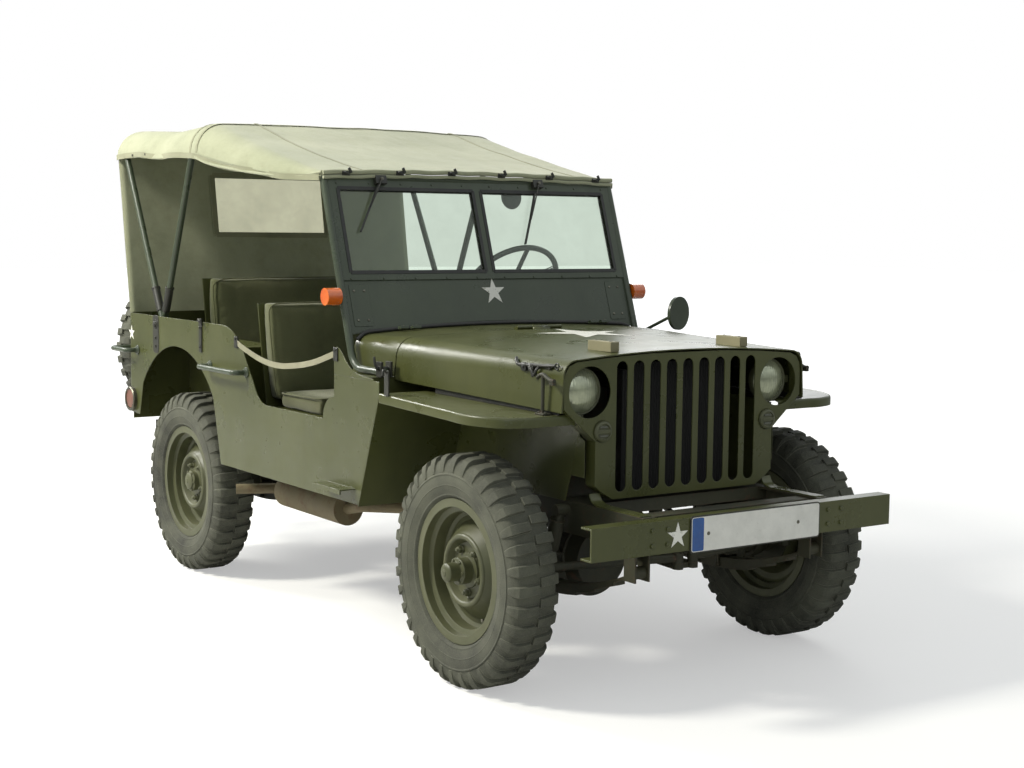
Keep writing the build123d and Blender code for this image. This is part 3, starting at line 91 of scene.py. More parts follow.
# Camera: the photograph's own viewpoint
yaw, pitch, roll = (math.radians(angle) for angle in CAMERA_TURN)
look = Vector((math.sin(yaw) * math.cos(pitch), math.cos(yaw) * math.cos(pitch), -math.sin(pitch)))
level = Vector((math.cos(yaw), -math.sin(yaw), 0))
below = look.cross(level)
right = math.cos(roll) * level + math.sin(roll) * below
down = -math.sin(roll) * level + math.cos(roll) * below
camera_data = bpy.data.cameras.new("camera")
camera_data.lens = CAMERA_LENS
camera_data.sensor_width = 36
camera = link("camera", camera_data)
turn = Matrix((right, -down, -look)).transposed().to_4x4()
camera.matrix_world = Matrix.Translation(CAMERA_PLACE) @ turn
bpy.context.scene.camera = camera
bpy.context.scene.view_settings.view_transform = "Standard"


# Shapes: vertices and faces gathered for one piece
class Shape:
    def __init__(self):
        self.points, self.faces, self.kinds = [], [], []

    def add(self, points, faces, kind=0):
        base = len(self.points)
        self.points += [Vector(p) for p in points]
        self.faces += [tuple(base + i for i in f) for f in faces]
        self.kinds += [kind] * len(faces)

    def grid(self, rows, kind=0, wrap_rows=False, wrap_cols=False, caps=False):
        """Quads between rows of points; caps closes the first and the last row."""
        count, width = len(rows), len(rows[0])
        faces = []
        for i in range(count if wrap_rows else count - 1):
            for j in range(width if wrap_cols else width - 1):
                a, b = i * width + j, i * width + (j + 1) % width
                c, d = ((i + 1) % count) * width + (j + 1) % width, ((i + 1) % count) * width + j
                faces.append((a, b, c, d))
        if caps:
            faces.append(tuple(range(width))[::-1])
            faces.append(tuple((count - 1) * width + j for j in range(width)))
        self.add([p for row in rows for p in row], faces, kind)


def frames(path, closed=False):
    """Each point of a path with its tangent and two normals that turn as little as they can."""
    found, normal = [], None
    for i, point in enumerate(path):
        before = path[i - 1] if (closed or i) else point
        after = path[(i + 1) % len(path)] if (closed or i < len(path) - 1) else point
        tangent = (after - before).normalized()
        if normal is None:
            normal = tangent.cross(Z if abs(tangent.z) < 0.9 else Y).normalized()
        else:
            normal = (normal - tangent * normal.dot(tangent)).normalized()
        found.append((point, tangent, normal, tangent.cross(normal)))
    return found


def smooth(path, steps=6, closed=False):
    """Points on a smooth curve through the given ones."""
    path = [Vector(p) for p in path]
    count, out = len(path), []
    for i in range(count if closed else count - 1):
        if closed:
            a, b, c, d = (path[(i + k) % count] for k in (-1, 0, 1, 2))
        else:
            b, c = path[i], path[i + 1]
            a = path[i - 1] if i else b * 2 - c
            d = path[i + 2] if i + 2 < count else c * 2 - b
        for k in range(steps):
            t = k / steps
            square, cube = 2 * a - 5 * b + 4 * c - d, 3 * b - a - 3 * c + d
            out.append(0.5 * (2 * b + (c - a) * t + square * t**2 + cube * t**3))
    if not closed:
        out.append(path[-1])
    return out


def circle(centre, normal, other, radius, sides):
    """Points round a circle in the plane of two normals."""
    turns = (2 * math.pi * k / sides for k in range(sides))
    return [centre + (normal * math.cos(a) + other * math.sin(a)) * radius for a in turns]


def tube(shape, path, radius, sides=12, kind=0, closed=False):
    rows = []
    for point, _, normal, other in frames([Vector(p) for p in path], closed):
        rows.append(circle(point, normal, other, radius, sides))
    shape.grid(rows, kind, wrap_rows=closed, wrap_cols=True, caps=not closed)


def strip(shape, path, side, width, thick, kind=0):
    """Flat strap along a path; side is the direction of its width."""
    rows = []
    path = [Vector(p) for p in path]
    for point, tangent, _, _ in frames(path):
        across = (side - tangent * side.dot(tangent)).normalized() * width / 2
        lift = tangent.cross(across).normalized() * thick / 2
        near, far = point - across, point + across
        rows.append([near - lift, far - lift, far + lift, near + lift])
    shape.grid(rows, kind, wrap_cols=True, caps=True)


def lathe(shape, centre, axis, profile, sides=32, kind=0, closed=False):
    """Turns (radius, distance along the axis) pairs round the axis."""
    axis = Vector(axis).normalized()
    normal = axis.cross(Z if abs(axis.z) < 0.9 else Y).normalized()
    other = axis.cross(normal)
    rows = []
    for radius, along in profile:
        rows.append(circle(Vector(centre) + axis * along, normal, other, max(radius, 0.0002), sides))
    shape.grid(rows, kind, wrap_rows=closed, wrap_cols=True, caps=not closed)


def plate(shape, outline, origin, across, upward, depth, kind=0):
    """A flat outline made solid, from its plane forwards along across x upward."""
    across, upward = Vector(across).normalized(), Vector(upward).normalized()
    out = across.cross(upward) * depth
    face = [Vector(origin) + across * u + upward * v for u, v in outline]
    count = len(face)
    sides = [(i, (i + 1) % count, count + (i + 1) % count, count + i) for i in range(count)]
    shape.add(
        face + [p + out for p in face],
        [tuple(range(count))[::-1], tuple(range(count, 2 * count))] + sides,
        kind,
    )


def block(shape, centre, size, kind=0, turned=None):
    """A box, later rounded by the piece's bevel."""
    turned = turned or Matrix.Identity(3)
    half = Vector(size) / 2
    corners = [
        Vector(centre) + turned @ Vector((sx * half.x, sy * half.y, sz * half.z))
        for sz in (-1, 1) for sx, sy in ((-1, -1), (1, -1), (1, 1), (-1, 1))
    ]
    faces = [(0, 3, 2, 1), (4, 5, 6, 7), (0, 1, 5, 4), (1, 2, 6, 5), (2, 3, 7, 6), (3, 0, 4, 7)]
    shape.add(corners, faces, kind)


def bolt(shape, centre, axis, radius, height, kind=0):
    """Hexagon head with a chamfer, standing on centre along axis."""
    profile = [(radius, 0), (radius, height * 0.75), (radius * 0.82, height), (0, height)]
    lathe(shape, centre, axis, [(0, 0)] + profile, 6, kind)


def rounded(width, height, corner, steps=5):
    """Outline of a rectangle with round corners, centred on the origin."""
    out = []
    for cx, cy, start in ((1, 1, 0), (-1, 1, 90), (-1, -1, 180), (1, -1, 270)):
        for k in range(steps + 1):
            a = math.radians(start + 90 * k / steps)
            mid_x, mid_y = cx * (width / 2 - corner), cy * (height / 2 - corner)
            out.append((mid_x + corner * math.cos(a), mid_y + corner * math.sin(a)))
    return out


def button(shape, centre, axis, foot, top, shoulder, height, sides=14, kind=0):
    """Low round head of a rivet or snap."""
    lathe(shape, centre, axis, [(0, 0), (foot, 0), (top, shoulder), (0, height)], sides, kind)


def piece(name, shape, materials, body, bevel=0.0, angle=35, segments=2, flat=False):
    """Makes the object of a shape, riding on a body and finished from a slot."""
    mesh = bpy.data.meshes.new(name)
    mesh.from_pydata([tuple(p) for p in shape.points], [], shape.faces)
    mesh.update()
    mesh.validate()
    for material in materials:
        mesh.materials.append(material)
    if len(mesh.polygons) == len(shape.kinds):
        mesh.polygons.foreach_set("material_index", shape.kinds)
    work = bmesh.new()
    work.from_mesh(mesh)
    bmesh.ops.recalc_face_normals(work, faces=work.faces)
    work.to_mesh(mesh)
    work.free()
    mesh.polygons.foreach_set("use_smooth", [not flat] * len(mesh.polygons))
    if not flat:
        mesh.set_sharp_from_angle(angle=math.radians(angle))
    thing = link(name, mesh)
    if bevel:
        modifier = thing.modifiers.new("bevel", "BEVEL")
        modifier.width = bevel
        modifier.segments = segments
        modifier.limit_method = "ANGLE"
        modifier.angle_limit = math.radians(angle)
        modifier.harden_normals = True
    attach(thing, body)
    return thing


# Materials
def linear(red, green, blue):
    """Colour values from 0 to 255 as linear light."""
    def one(v):
        v /= 255
        return v / 12.92 if v <= 0.04045 else ((v + 0.055) / 1.055) ** 2.4
    return (one(red), one(green), one(blue), 1)


class Nodes:
    """Nodes of a material or world, made by short calls."""

    def __init__(self, owner):
        owner.use_nodes = True
        self.tree = owner.node_tree

    def plug(self, socket, value):
        if isinstance(value, bpy.types.NodeSocket):
            self.tree.links.new(value, socket)
        else:
            socket.default_value = value

    def node(self, kind, *values, **settings):
        made = self.tree.nodes.new("ShaderNode" + kind)
        for key, value in settings.items():
            setattr(made, key, value)
        for i, value in enumerate(values):
            if value is not None:
                self.plug(made.inputs[i], value)
        return made


class Finish(Nodes):
    """A material built round its Principled shader."""

    def __init__(self, name):
        self.material = bpy.data.materials.new(name)
        super().__init__(self.material)
        self.shader = self.tree.nodes["Principled BSDF"]
        coordinates = self.tree.nodes.new("ShaderNodeTexCoord")
        self.place, self.normal = coordinates.outputs["Object"], coordinates.outputs["Normal"]

    def noise(self, scale, detail=4.0, rough=0.55, place=None):
        made = self.node("TexNoise", place or self.place)
        made.inputs["Scale"].default_value = scale
        made.inputs["Detail"].default_value = detail
        made.inputs["Roughness"].default_value = rough
        return made.outputs[0]

    def stretch(self, x, y, z):
        return self.node("Mapping", self.place, None, None, (x, y, z)).outputs[0]

    def span(self, value, low, high, out_low=0.0, out_high=1.0):
        return self.node("MapRange", value, low, high, out_low, out_high).outputs[0]

    def sums(self, operation, a, b=0.5, clamp=False):
        return self.node("Math", a, b, operation=operation, use_clamp=clamp).outputs[0]

    def blend(self, share, a, b):
        made = self.tree.nodes.new("ShaderNodeMix")
        made.data_type = "RGBA"
        self.plug(made.inputs[0], share)
        self.plug(made.inputs[6], a)
        self.plug(made.inputs[7], b)
        return made.outputs[2]

    def axis(self, vector, index):
        return self.node("SeparateXYZ", vector).outputs[index]

    def bump(self, height, strength, distance, normal=None):
        made = self.tree.nodes.new("ShaderNodeBump")
        made.inputs["Strength"].default_value = strength
        made.inputs["Distance"].default_value = distance
        self.plug(made.inputs["Height"], height)
        if normal:
            self.plug(made.inputs["Normal"], normal)
        return made.outputs[0]

    def round_edges(self, radius):
        return self.node("Bevel", radius, samples=4).outputs[0]

    def worn(self, radius=0.006):
        """High along edges, where paint is rubbed."""
        soft = self.round_edges(radius)
        geometry = self.tree.nodes.new("ShaderNodeNewGeometry").outputs["Normal"]
        dot = self.node("VectorMath", soft, geometry, operation="DOT_PRODUCT").outputs["Value"]
        return self.span(dot, 0.985, 0.80)

    def set(self, **values):
        names = {"color": "Base Color", "rough": "Roughness", "metal": "Metallic", "normal": "Normal",
                 "sheen": "Sheen Weight", "specular": "Specular IOR Level", "coat": "Coat Weight",
                 "glass": "Transmission Weight", "ior": "IOR"}
        for key, value in values.items():
            self.plug(self.shader.inputs[names[key]], value)
        return self.material


def paint(name, main, pale, dark, dust_share, rough=0.34, low_dust=0.15, rust=0.0):
    """Satin army paint: clouded colour, rubbed edges, dust on top and low down."""
    main, pale, dark = (linear(*color) for color in (main, pale, dark))
    f = Finish(name)
    clouds = f.span(f.noise(1.7, 5, 0.6), 0.38, 0.66)
    streaks = f.span(f.noise(9, 6, 0.7, f.stretch(1, 1, 0.25)), 0.45, 0.75)
    color = f.blend(clouds, main, pale)
    color = f.blend(f.sums("MULTIPLY", streaks, 0.35), color, dark)
    speck = f.span(f.noise(160, 3, 0.6), 0.62, 0.72)
    color = f.blend(f.sums("MULTIPLY", speck, 0.25), color, pale)
    up = f.span(f.axis(f.normal, 2), 0.35, 1.0)
    cover = f.span(f.noise(5.5, 6, 0.65), 0.35, 0.75)
    low = f.span(f.axis(f.place, 2), 0.75, 0.25, 0.0, low_dust)
    dust = f.sums("ADD", f.sums("MULTIPLY", f.sums("MULTIPLY", up, cover), dust_share),
                  f.sums("MULTIPLY", low, cover), clamp=True)
    color = f.blend(dust, color, linear(128, 124, 92))
    chips = f.sums("MULTIPLY", f.worn(0.004), f.span(f.noise(45, 4, 0.6), 0.42, 0.6))
    color = f.blend(f.sums("MULTIPLY", chips, 0.55), color, pale if not rust else linear(96, 62, 40))
    if rust:
        spots = f.span(f.noise(24, 7, 0.7), 0.6 - rust * 0.2, 0.75)
        color = f.blend(f.sums("MULTIPLY", spots, 0.8), color, linear(88, 58, 40))
    shine = f.sums("ADD", f.span(f.noise(7, 5, 0.6), 0.3, 0.7, rough - 0.07, rough + 0.1),
                   f.sums("MULTIPLY", dust, 0.3), clamp=True)
    skin = f.bump(f.noise(420, 2, 0.5), 0.06, 0.0006, f.round_edges(0.003))
    panel = f.bump(f.noise(3.2, 2, 0.4), 0.22, 0.006, skin)
    return f.set(color=color, rough=shine, normal=panel, specular=0.42)


olive = paint("olive_paint_coat", (68, 72, 38), (78, 81, 46), (54, 58, 29), 0.06, 0.30, 0.05)
# A cooler, darker copy of the olive paint for the windshield frame, mirror, bows, column and handles: painted
# sky-lit shade.
olive_painted_shade = paint("olive_painted_shade_coat", (57, 66, 50), (69, 78, 60), (42, 49, 37), 0.05, 0.30)
olive_low = paint("olive_wheel_coat", (70, 73, 49), (88, 90, 64), (48, 51, 34), 0.10, 0.40, 0.16)
chassis = paint("chassis_coat", (38, 40, 29), (56, 56, 40), (24, 25, 19), 0.12, 0.6, 0.15, 0.12)
black = paint("black_coat", (32, 33, 29), (58, 58, 50), (18, 18, 16), 0.15, 0.40, 0.1)
iron = paint("iron_coat", (56, 58, 46), (80, 78, 62), (32, 32, 27), 0.3, 0.6, 0.3, 0.3)
rusty = paint("rusty_steel", (104, 94, 70), (124, 112, 84), (70, 60, 44), 0.3, 0.66, 0.3, 0.4)
timber = paint("block_coat", (120, 116, 88), (142, 136, 106), (92, 88, 64), 0.1, 0.6, 0.0)


def rubber(name):
    f = Finish(name)
    mottle = f.span(f.noise(14, 6, 0.65), 0.35, 0.7)
    color = f.blend(mottle, linear(42, 43, 39), linear(64, 65, 58))
    grain = f.span(f.noise(260, 4, 0.6), 0.4, 0.65)
    color = f.blend(f.sums("MULTIPLY", grain, 0.4), color, linear(94, 94, 82))
    dry = f.span(f.noise(3.5, 4, 0.6), 0.35, 0.65)
    color = f.blend(f.sums("MULTIPLY", dry, 0.45), color, linear(112, 114, 98))
    worn = f.worn(0.003)
    color = f.blend(f.sums("MULTIPLY", worn, 0.45), color, linear(134, 136, 118))
    skin = f.bump(f.noise(520, 3, 0.6), 0.25, 0.0008, f.round_edges(0.0015))
    return f.set(color=color, rough=f.span(mottle, 0, 1, 0.78, 0.93), normal=skin, specular=0.3)


def cloth(name, main, pale, dark, thread, folds=0.5, sheen=0.25):
    """Woven fabric: crossing threads, slubs, fading and soft creases."""
    main, pale, dark = (linear(*color) for color in (main, pale, dark))
    f = Finish(name)
    across, along, upward = (
        f.node("TexWave", f.stretch(1, 1, 1), wave_type="BANDS", bands_direction=way) for way in "XYZ"
    )
    for wave in (across, along, upward):
        wave.inputs["Scale"].default_value = thread
        wave.inputs["Distortion"].default_value = 0.6
        wave.inputs["Detail"].default_value = 1
        wave.inputs["Detail Scale"].default_value = 1.2
    weave = f.sums("MULTIPLY", f.sums("ADD", across.outputs[1], along.outputs[1]), 0.5)
    weave = f.sums("MAXIMUM", weave, upward.outputs[1])
    fade = f.span(f.noise(1.6, 5, 0.6), 0.35, 0.68)
    blotch = f.span(f.noise(11, 6, 0.65), 0.48, 0.78)
    slub = f.span(f.noise(150, 4, 0.7, f.stretch(1, 0.2, 1)), 0.45, 0.75)
    color = f.blend(fade, main, pale)
    color = f.blend(f.sums("MULTIPLY", blotch, 0.38), color, dark)
    color = f.blend(f.sums("MULTIPLY", slub, 0.3), color, pale)
    color = f.blend(f.span(weave, 0.2, 1.0, 0.16, 0.0), color, dark)
    fine = f.bump(weave, 0.25, 0.0006)
    crease = f.bump(f.noise(13, 4, 0.5, f.stretch(1, 0.35, 1)), folds, 0.006, fine)
    big = f.bump(f.noise(3.6, 3, 0.5), folds * 0.8, 0.012, crease)
    return f.set(color=color, rough=0.92, normal=big, sheen=sheen, specular=0.15)


tyre_rubber = rubber("tyre_rubber")
canvas = cloth("top_canvas", (148, 152, 124), (170, 172, 144), (116, 120, 94), 300)
seat_cloth = cloth("seat_canvas_weave", (86, 90, 61), (104, 105, 76), (64, 67, 46), 340, 0.3)
webbing = cloth("webbing_weave", (126, 124, 98), (150, 147, 122), (92, 90, 70), 520, 0.15)
inner_tape = cloth("edge_tape", (128, 130, 103), (148, 148, 120), (100, 102, 80), 420, 0.2)


def clear(name, tint, rough, haze):
    """Clear sheet with a film of dust, mixed by the surface's own noise."""
    tint = linear(*tint)
    f = Finish(name)
    film = f.span(f.noise(7, 6, 0.65), 0.4, 0.75, haze * 0.5, haze)
    f.set(color=tint, rough=rough, glass=1.0, ior=1.3, specular=0.5)
    out = f.tree.nodes["Material Output"]
    clear_part = f.node("BsdfTransparent", tint)
    gloss = f.node("BsdfGlossy", (1, 1, 1, 1), rough)
    dust = f.node("BsdfDiffuse", linear(176, 176, 160))
    fresnel = f.node("Fresnel", 1.4)
    share = f.sums("MULTIPLY", fresnel.outputs[0], 0.9)
    body = f.node("MixShader", share, clear_part.outputs[0], gloss.outputs[0])
    whole = f.node("MixShader", film, body.outputs[0], dust.outputs[0])
    f.tree.links.new(whole.outputs[0], out.inputs["Surface"])
    return f.material


pane = clear("window_glass", (232, 240, 232), 0.03, 0.10)
plastic_pane = clear("curtain_film", (232, 232, 216), 0.10, 0.20)


def glossy(name, main, deep, rough, coat=0.0, metal=0.0, ribs=0.0):
    """Smooth surface with some grime, and lens ribs where asked."""
    f = Finish(name)
    color = f.blend(f.span(f.noise(18, 4, 0.6), 0.35, 0.7), linear(*main), linear(*deep))
    grime = f.span(f.noise(60, 5, 0.65), 0.58, 0.8)
    color = f.blend(f.sums("MULTIPLY", grime, 0.25), color, linear(120, 112, 92))
    normal = f.bump(f.noise(90, 3, 0.5), 0.08, 0.001)
    if ribs:
        wave = f.node("TexWave", f.place, wave_type="BANDS", bands_direction="X")
        wave.inputs["Scale"].default_value = ribs
        normal = f.bump(wave.outputs[1], 0.35, 0.0015, normal)
    return f.set(color=color, rough=f.span(grime, 0, 1, rough, rough + 0.2), normal=normal, coat=coat,
                 metal=metal)


amber = glossy("amber_lens", (226, 110, 22), (196, 82, 12), 0.16, 1.0, 0, 60)
brown_lens = glossy("brown_lens", (122, 66, 34), (92, 46, 24), 0.3, 0.4, 0, 90)
lamp_glass = glossy("lamp_glass", (178, 184, 152), (132, 138, 112), 0.05, 1.0, 0.35, 34)
marker_glass = glossy("marker_glass", (86, 90, 74), (58, 60, 50), 0.2, 0.6)
dull_metal = glossy("dull_metal", (120, 118, 106), (88, 86, 76), 0.42, 0.0, 0.9)
black_plastic = glossy("black_plastic_skin", (30, 30, 28), (42, 42, 38), 0.38, 0.2)
seal_rubber = glossy("seal_rubber", (26, 27, 25), (40, 40, 36), 0.55)
plate_white = glossy("plate_white", (222, 222, 214), (208, 208, 200), 0.3, 0.4)
plate_blue = glossy("plate_blue", (28, 82, 150), (20, 66, 128), 0.3, 0.4)


def star_paint():
    f = Finish("white_stencil")
    grain = f.span(f.noise(120, 5, 0.65), 0.34, 0.42)
    color = f.blend(grain, linear(150, 152, 130), linear(226, 226, 216))
    return f.set(color=color, rough=0.5, normal=f.bump(f.noise(300, 3, 0.5), 0.1, 0.0005))


white_paint = star_paint()


def radiator_core():
    f = Finish("radiator_core")
    fins = f.node("TexWave", f.place, wave_type="BANDS", bands_direction="Z")
    fins.inputs["Scale"].default_value = 90
    rows = f.node("TexWave", f.place, wave_type="BANDS", bands_direction="X")
    rows.inputs["Scale"].default_value = 30
    height = f.sums("MULTIPLY", fins.outputs[1], rows.outputs[1])
    color = f.blend(height, linear(10, 10, 9), linear(34, 34, 30))
    return f.set(color=color, rough=0.6, normal=f.bump(height, 0.8, 0.003), metal=0.3)


core = radiator_core()

# Carried-over CAD nodes: material, nodes
carried = [
    (olive, ("front_bumper", "grille", "front_fenders", "hood", "cowl", "floor", "body_side_left",
             "body_side_right", "rear_panel", "wheelhouses", "seat_frames", "rear_bumpers",
             "front_lamps")),
    # These parts take the cooler, darker olive copy, which is painted shade.
    (olive_painted_shade, ("windshield_frame", "mirror", "top_bows", "steering_column", "grab_handles")),
    (olive_low, ("wheel_front_left", "wheel_front_right", "wheel_rear_left", "wheel_rear_right",
                 "spare_wheel")),
    (chassis, ("frame", "front_axle", "rear_axle", "knuckle_left", "knuckle_right", "suspension",
               "tie_rod_left", "tie_rod_right", "bellcrank", "drag_link", "pitman_arm")),
    (iron, ("drivetrain",)),
    (rusty, ("exhaust",)),
    (core, ("radiator",)),
    (black_plastic, ("steering_wheel",)),
    (amber, ("indicators",)),
    (brown_lens, ("tail_lamps",)),
    (pane, ("windshield_glass",)),
    (plastic_pane, ("rear_window",)),
    (canvas, ("canvas_top",)),
    (seat_cloth, ("seat_cushions",)),
    (tyre_rubber, ("tyre_front_left", "tyre_front_right", "tyre_rear_left", "tyre_rear_right", "spare_tyre")),
]
for material, names in carried:
    for name in names:
        for holder in nodes[name].material_slots:
            holder.material = material


# Tyres: a carcass with ring lines and two rows of staggered bars
LUGS = 36


def wall_x(radius):
    """Half width of the tyre at a radius, on the two arcs of its sidewall."""
    centre, reach = (-0.0327, 0.1127) if radius < 0.285 else (-0.0631, 0.1431)
    return centre + math.sqrt(max(reach**2 - (radius - 0.285) ** 2, 0))


def carcass_profile():
    side = [(0.0566, 0.2035), (0.0566, 0.2215), (0.0600, 0.2245)]
    rings = {0.231: 0.0022, 0.234: 0.0026, 0.237: 0.0006, 0.262: 0.0, 0.2635: 0.0012, 0.2655: 0.0,
             0.293: 0.0, 0.296: 0.0022, 0.299: 0.0022, 0.3015: -0.0008}
    for radius in (0.228, 0.231, 0.234, 0.237, 0.246, 0.254, 0.262, 0.2635, 0.2655, 0.274, 0.284, 0.293,
                   0.296, 0.299, 0.3015, 0.310, 0.318):
        side.append((wall_x(radius) + rings.get(radius, 0.0), radius))
    side += [(0.0735, 0.327), (0.0665, 0.338), (0.0560, 0.3445), (0.0400, 0.3468), (0.0200, 0.3478)]
    return side + [(-x, r) for x, r in reversed(side)]


# Tread bar: half width across the tyre, radius, outward lean, height, foot and top half widths
BAR = [
    (0.0030, 0.3465, 0.00, 0.0125, 0.0150, 0.0125),
    (0.0300, 0.3460, 0.00, 0.0130, 0.0160, 0.0130),
    (0.0520, 0.3440, 0.10, 0.0145, 0.0170, 0.0140),
    (0.0625, 0.3400, 0.55, 0.0125, 0.0172, 0.0142),
    (0.0680, 0.3330, 0.86, 0.0098, 0.0165, 0.0132),
    (0.0725, 0.3230, 0.95, 0.0078, 0.0150, 0.0112),
    (0.0755, 0.3130, 0.98, 0.0058, 0.0125, 0.0088),
    (0.0775, 0.3040, 1.00, 0.0030, 0.0095, 0.0060),
]


def make_tyre(name, centre, axis, body, node):
    axis = Vector(axis)
    normal = axis.cross(Z).normalized() if abs(axis.z) < 0.9 else X
    other = axis.cross(normal)
    shape = Shape()
    lathe(shape, centre, axis, [(r, x) for x, r in carcass_profile()], 160, closed=True)
    for side in (1, -1):
        for k in range(LUGS):
            start = 2 * math.pi * (k + (0.5 if side < 0 else 0)) / LUGS
            rows = []
            for x, radius, lean, height, foot, top in BAR:
                swing = side * 0.0060 * (1 - x / 0.0625) if x < 0.0625 else 0
                out = (side * lean, math.sqrt(1 - lean * lean))
                row = []
                for spread, rise in ((-foot, -0.0012), (-top, height), (top, height), (foot, -0.0012)):
                    far = radius + out[1] * rise
                    angle = start + (spread + swing) / radius
                    ring = normal * math.cos(angle) + other * math.sin(angle)
                    row.append(Vector(centre) + axis * (side * x + out[0] * rise) + ring * far)
                rows.append(row)
            shape.grid(rows, wrap_cols=True, caps=True)
    made = piece(name, shape, [tyre_rubber], body, bevel=0.0012, angle=28, segments=1)
    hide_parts(node)


# Wheels: name, side, centre
wheels = [
    (f"{end}_{hand}", side, at(side * HALF_TRACK, station, HUB_HEIGHT))
    for end, station in (("front", 0.0), ("rear", WHEELBASE)) for hand, side in (("left", 1), ("right", -1))
]
for name, side, centre in wheels:
    make_tyre(f"tread_{name}", centre, (side, 0, 0), f"wheel_{name}", f"tyre_{name}")
spare_low, spare_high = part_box("spare_tyre")
spare_centre = (spare_low + spare_high) / 2
make_tyre("tread_spare", spare_centre, (0, 1, 0), "body", "spare_tyre")


# Wheel nuts, hub bolts and valves
def make_nuts(name, centre, axis, body, hub):
    axis = Vector(axis)
    normal = axis.cross(Z).normalized()
    other = axis.cross(normal)
    shape = Shape()
    face = 0.014
    for k in range(5):
        angle = 2 * math.pi * k / 5 + 0.3
        spot = centre + (normal * math.cos(angle) + other * math.sin(angle)) * 0.070
        seat = [(0, face - 0.002), (0.014, face - 0.001), (0.0135, face + 0.004), (0, face + 0.004)]
        lathe(shape, spot, axis, seat, 20)
        bolt(shape, spot + axis * (face + 0.003), axis, 0.0115, 0.014)
        stud = [(0, 0), (0.006, 0), (0.006, 0.021), (0.0045, 0.023), (0, 0.023)]
        lathe(shape, spot, axis, [(r, face + along) for r, along in stud], 12)
    if hub:
        step, ring, nose = hub
        for k in range(6):
            angle = 2 * math.pi * k / 6
            spot = centre + (normal * math.cos(angle) + other * math.sin(angle)) * ring + axis * step
            bolt(shape, spot, axis, 0.0058, 0.006)
        flange = [(0.0405, step - 0.006), (0.0425, step - 0.005), (0.0425, step - 0.001), (0.0405, step)]
        lathe(shape, centre, axis, flange, 40)
        cap = [(0, nose - 0.004), (0.012, nose - 0.0015), (0.010, nose + 0.003), (0, nose + 0.004)]
        lathe(shape, centre, axis, cap, 24)
    stem = centre + (normal * math.cos(2.2) + other * math.sin(2.2)) * 0.168
    tube(shape, [stem - axis * 0.006, stem + axis * 0.020], 0.0042, 10)
    tube(shape, [stem + axis * 0.020, stem + axis * 0.032], 0.0055, 10, 1)
    piece(name, shape, [olive_low, dull_metal], body, bevel=0.0008, angle=40)


# Hub: step of its bolt ring, the ring's radius, end of its nose
HUBS = {"front": (0.058, 0.0345, 0.104), "rear": (0.044, 0.0375, 0.058)}
for name, side, centre in wheels:
    make_nuts(f"nuts_{name}", centre, (side, 0, 0), f"wheel_{name}", HUBS[name.split("_")[0]])
make_nuts("nuts_spare", spare_centre, (0, 1, 0), "body", None)


# Canvas top: one sheet from the windshield over both bows, with a short skirt at the rear
def lerp(table, station, column):
    """A column's value at a station, straight between the table's rows."""
    for low, high in zip(table, table[1:]):
        if station <= high[0]:
            share = (station - low[0]) / (high[0] - low[0])
            return low[column] + max(share, 0) * (high[column] - low[column])
    return table[-1][column]


def thicken(thing, thickness, offset=-1):
    thick = thing.modifiers.new("thickness", "SOLIDIFY")
    thick.thickness, thick.offset = thickness, offset


SHEET_FRONT, FRONT_BOW, REAR_BOW = 0.97, 1.895, 2.675
# Roof line: station, half width, crown, drop of the edge, shoulder radius
ROOF = [
    (0.9700, 0.6385, 1.5960, 0.016, 0.022),
    (1.0000, 0.6420, 1.6045, 0.016, 0.030),
    (1.3000, 0.6700, 1.6640, 0.014, 0.060),
    (1.6000, 0.6900, 1.7290, 0.012, 0.090),
    (1.8550, 0.7040, 1.7930, 0.010, 0.108),
    (1.8950, 0.7055, 1.8005, 0.009, 0.112),
    (1.9350, 0.7050, 1.7975, 0.010, 0.112),
    (2.2500, 0.7030, 1.7870, 0.013, 0.116),
    (2.5500, 0.7050, 1.7960, 0.010, 0.114),
    (2.6750, 0.7060, 1.8000, 0.009, 0.112),
    (2.6920, 0.7060, 1.7960, 0.009, 0.108),
]
# Hem of the sides: station, height
HEM = [
    (0.9700, 1.5545), (1.2000, 1.5640), (1.4180, 1.5800), (1.6500, 1.6060), (1.8650, 1.6460),
    (1.9100, 1.6520), (2.1500, 1.6610), (2.4240, 1.6700), (2.6830, 1.6660), (2.6920, 1.6640),
]


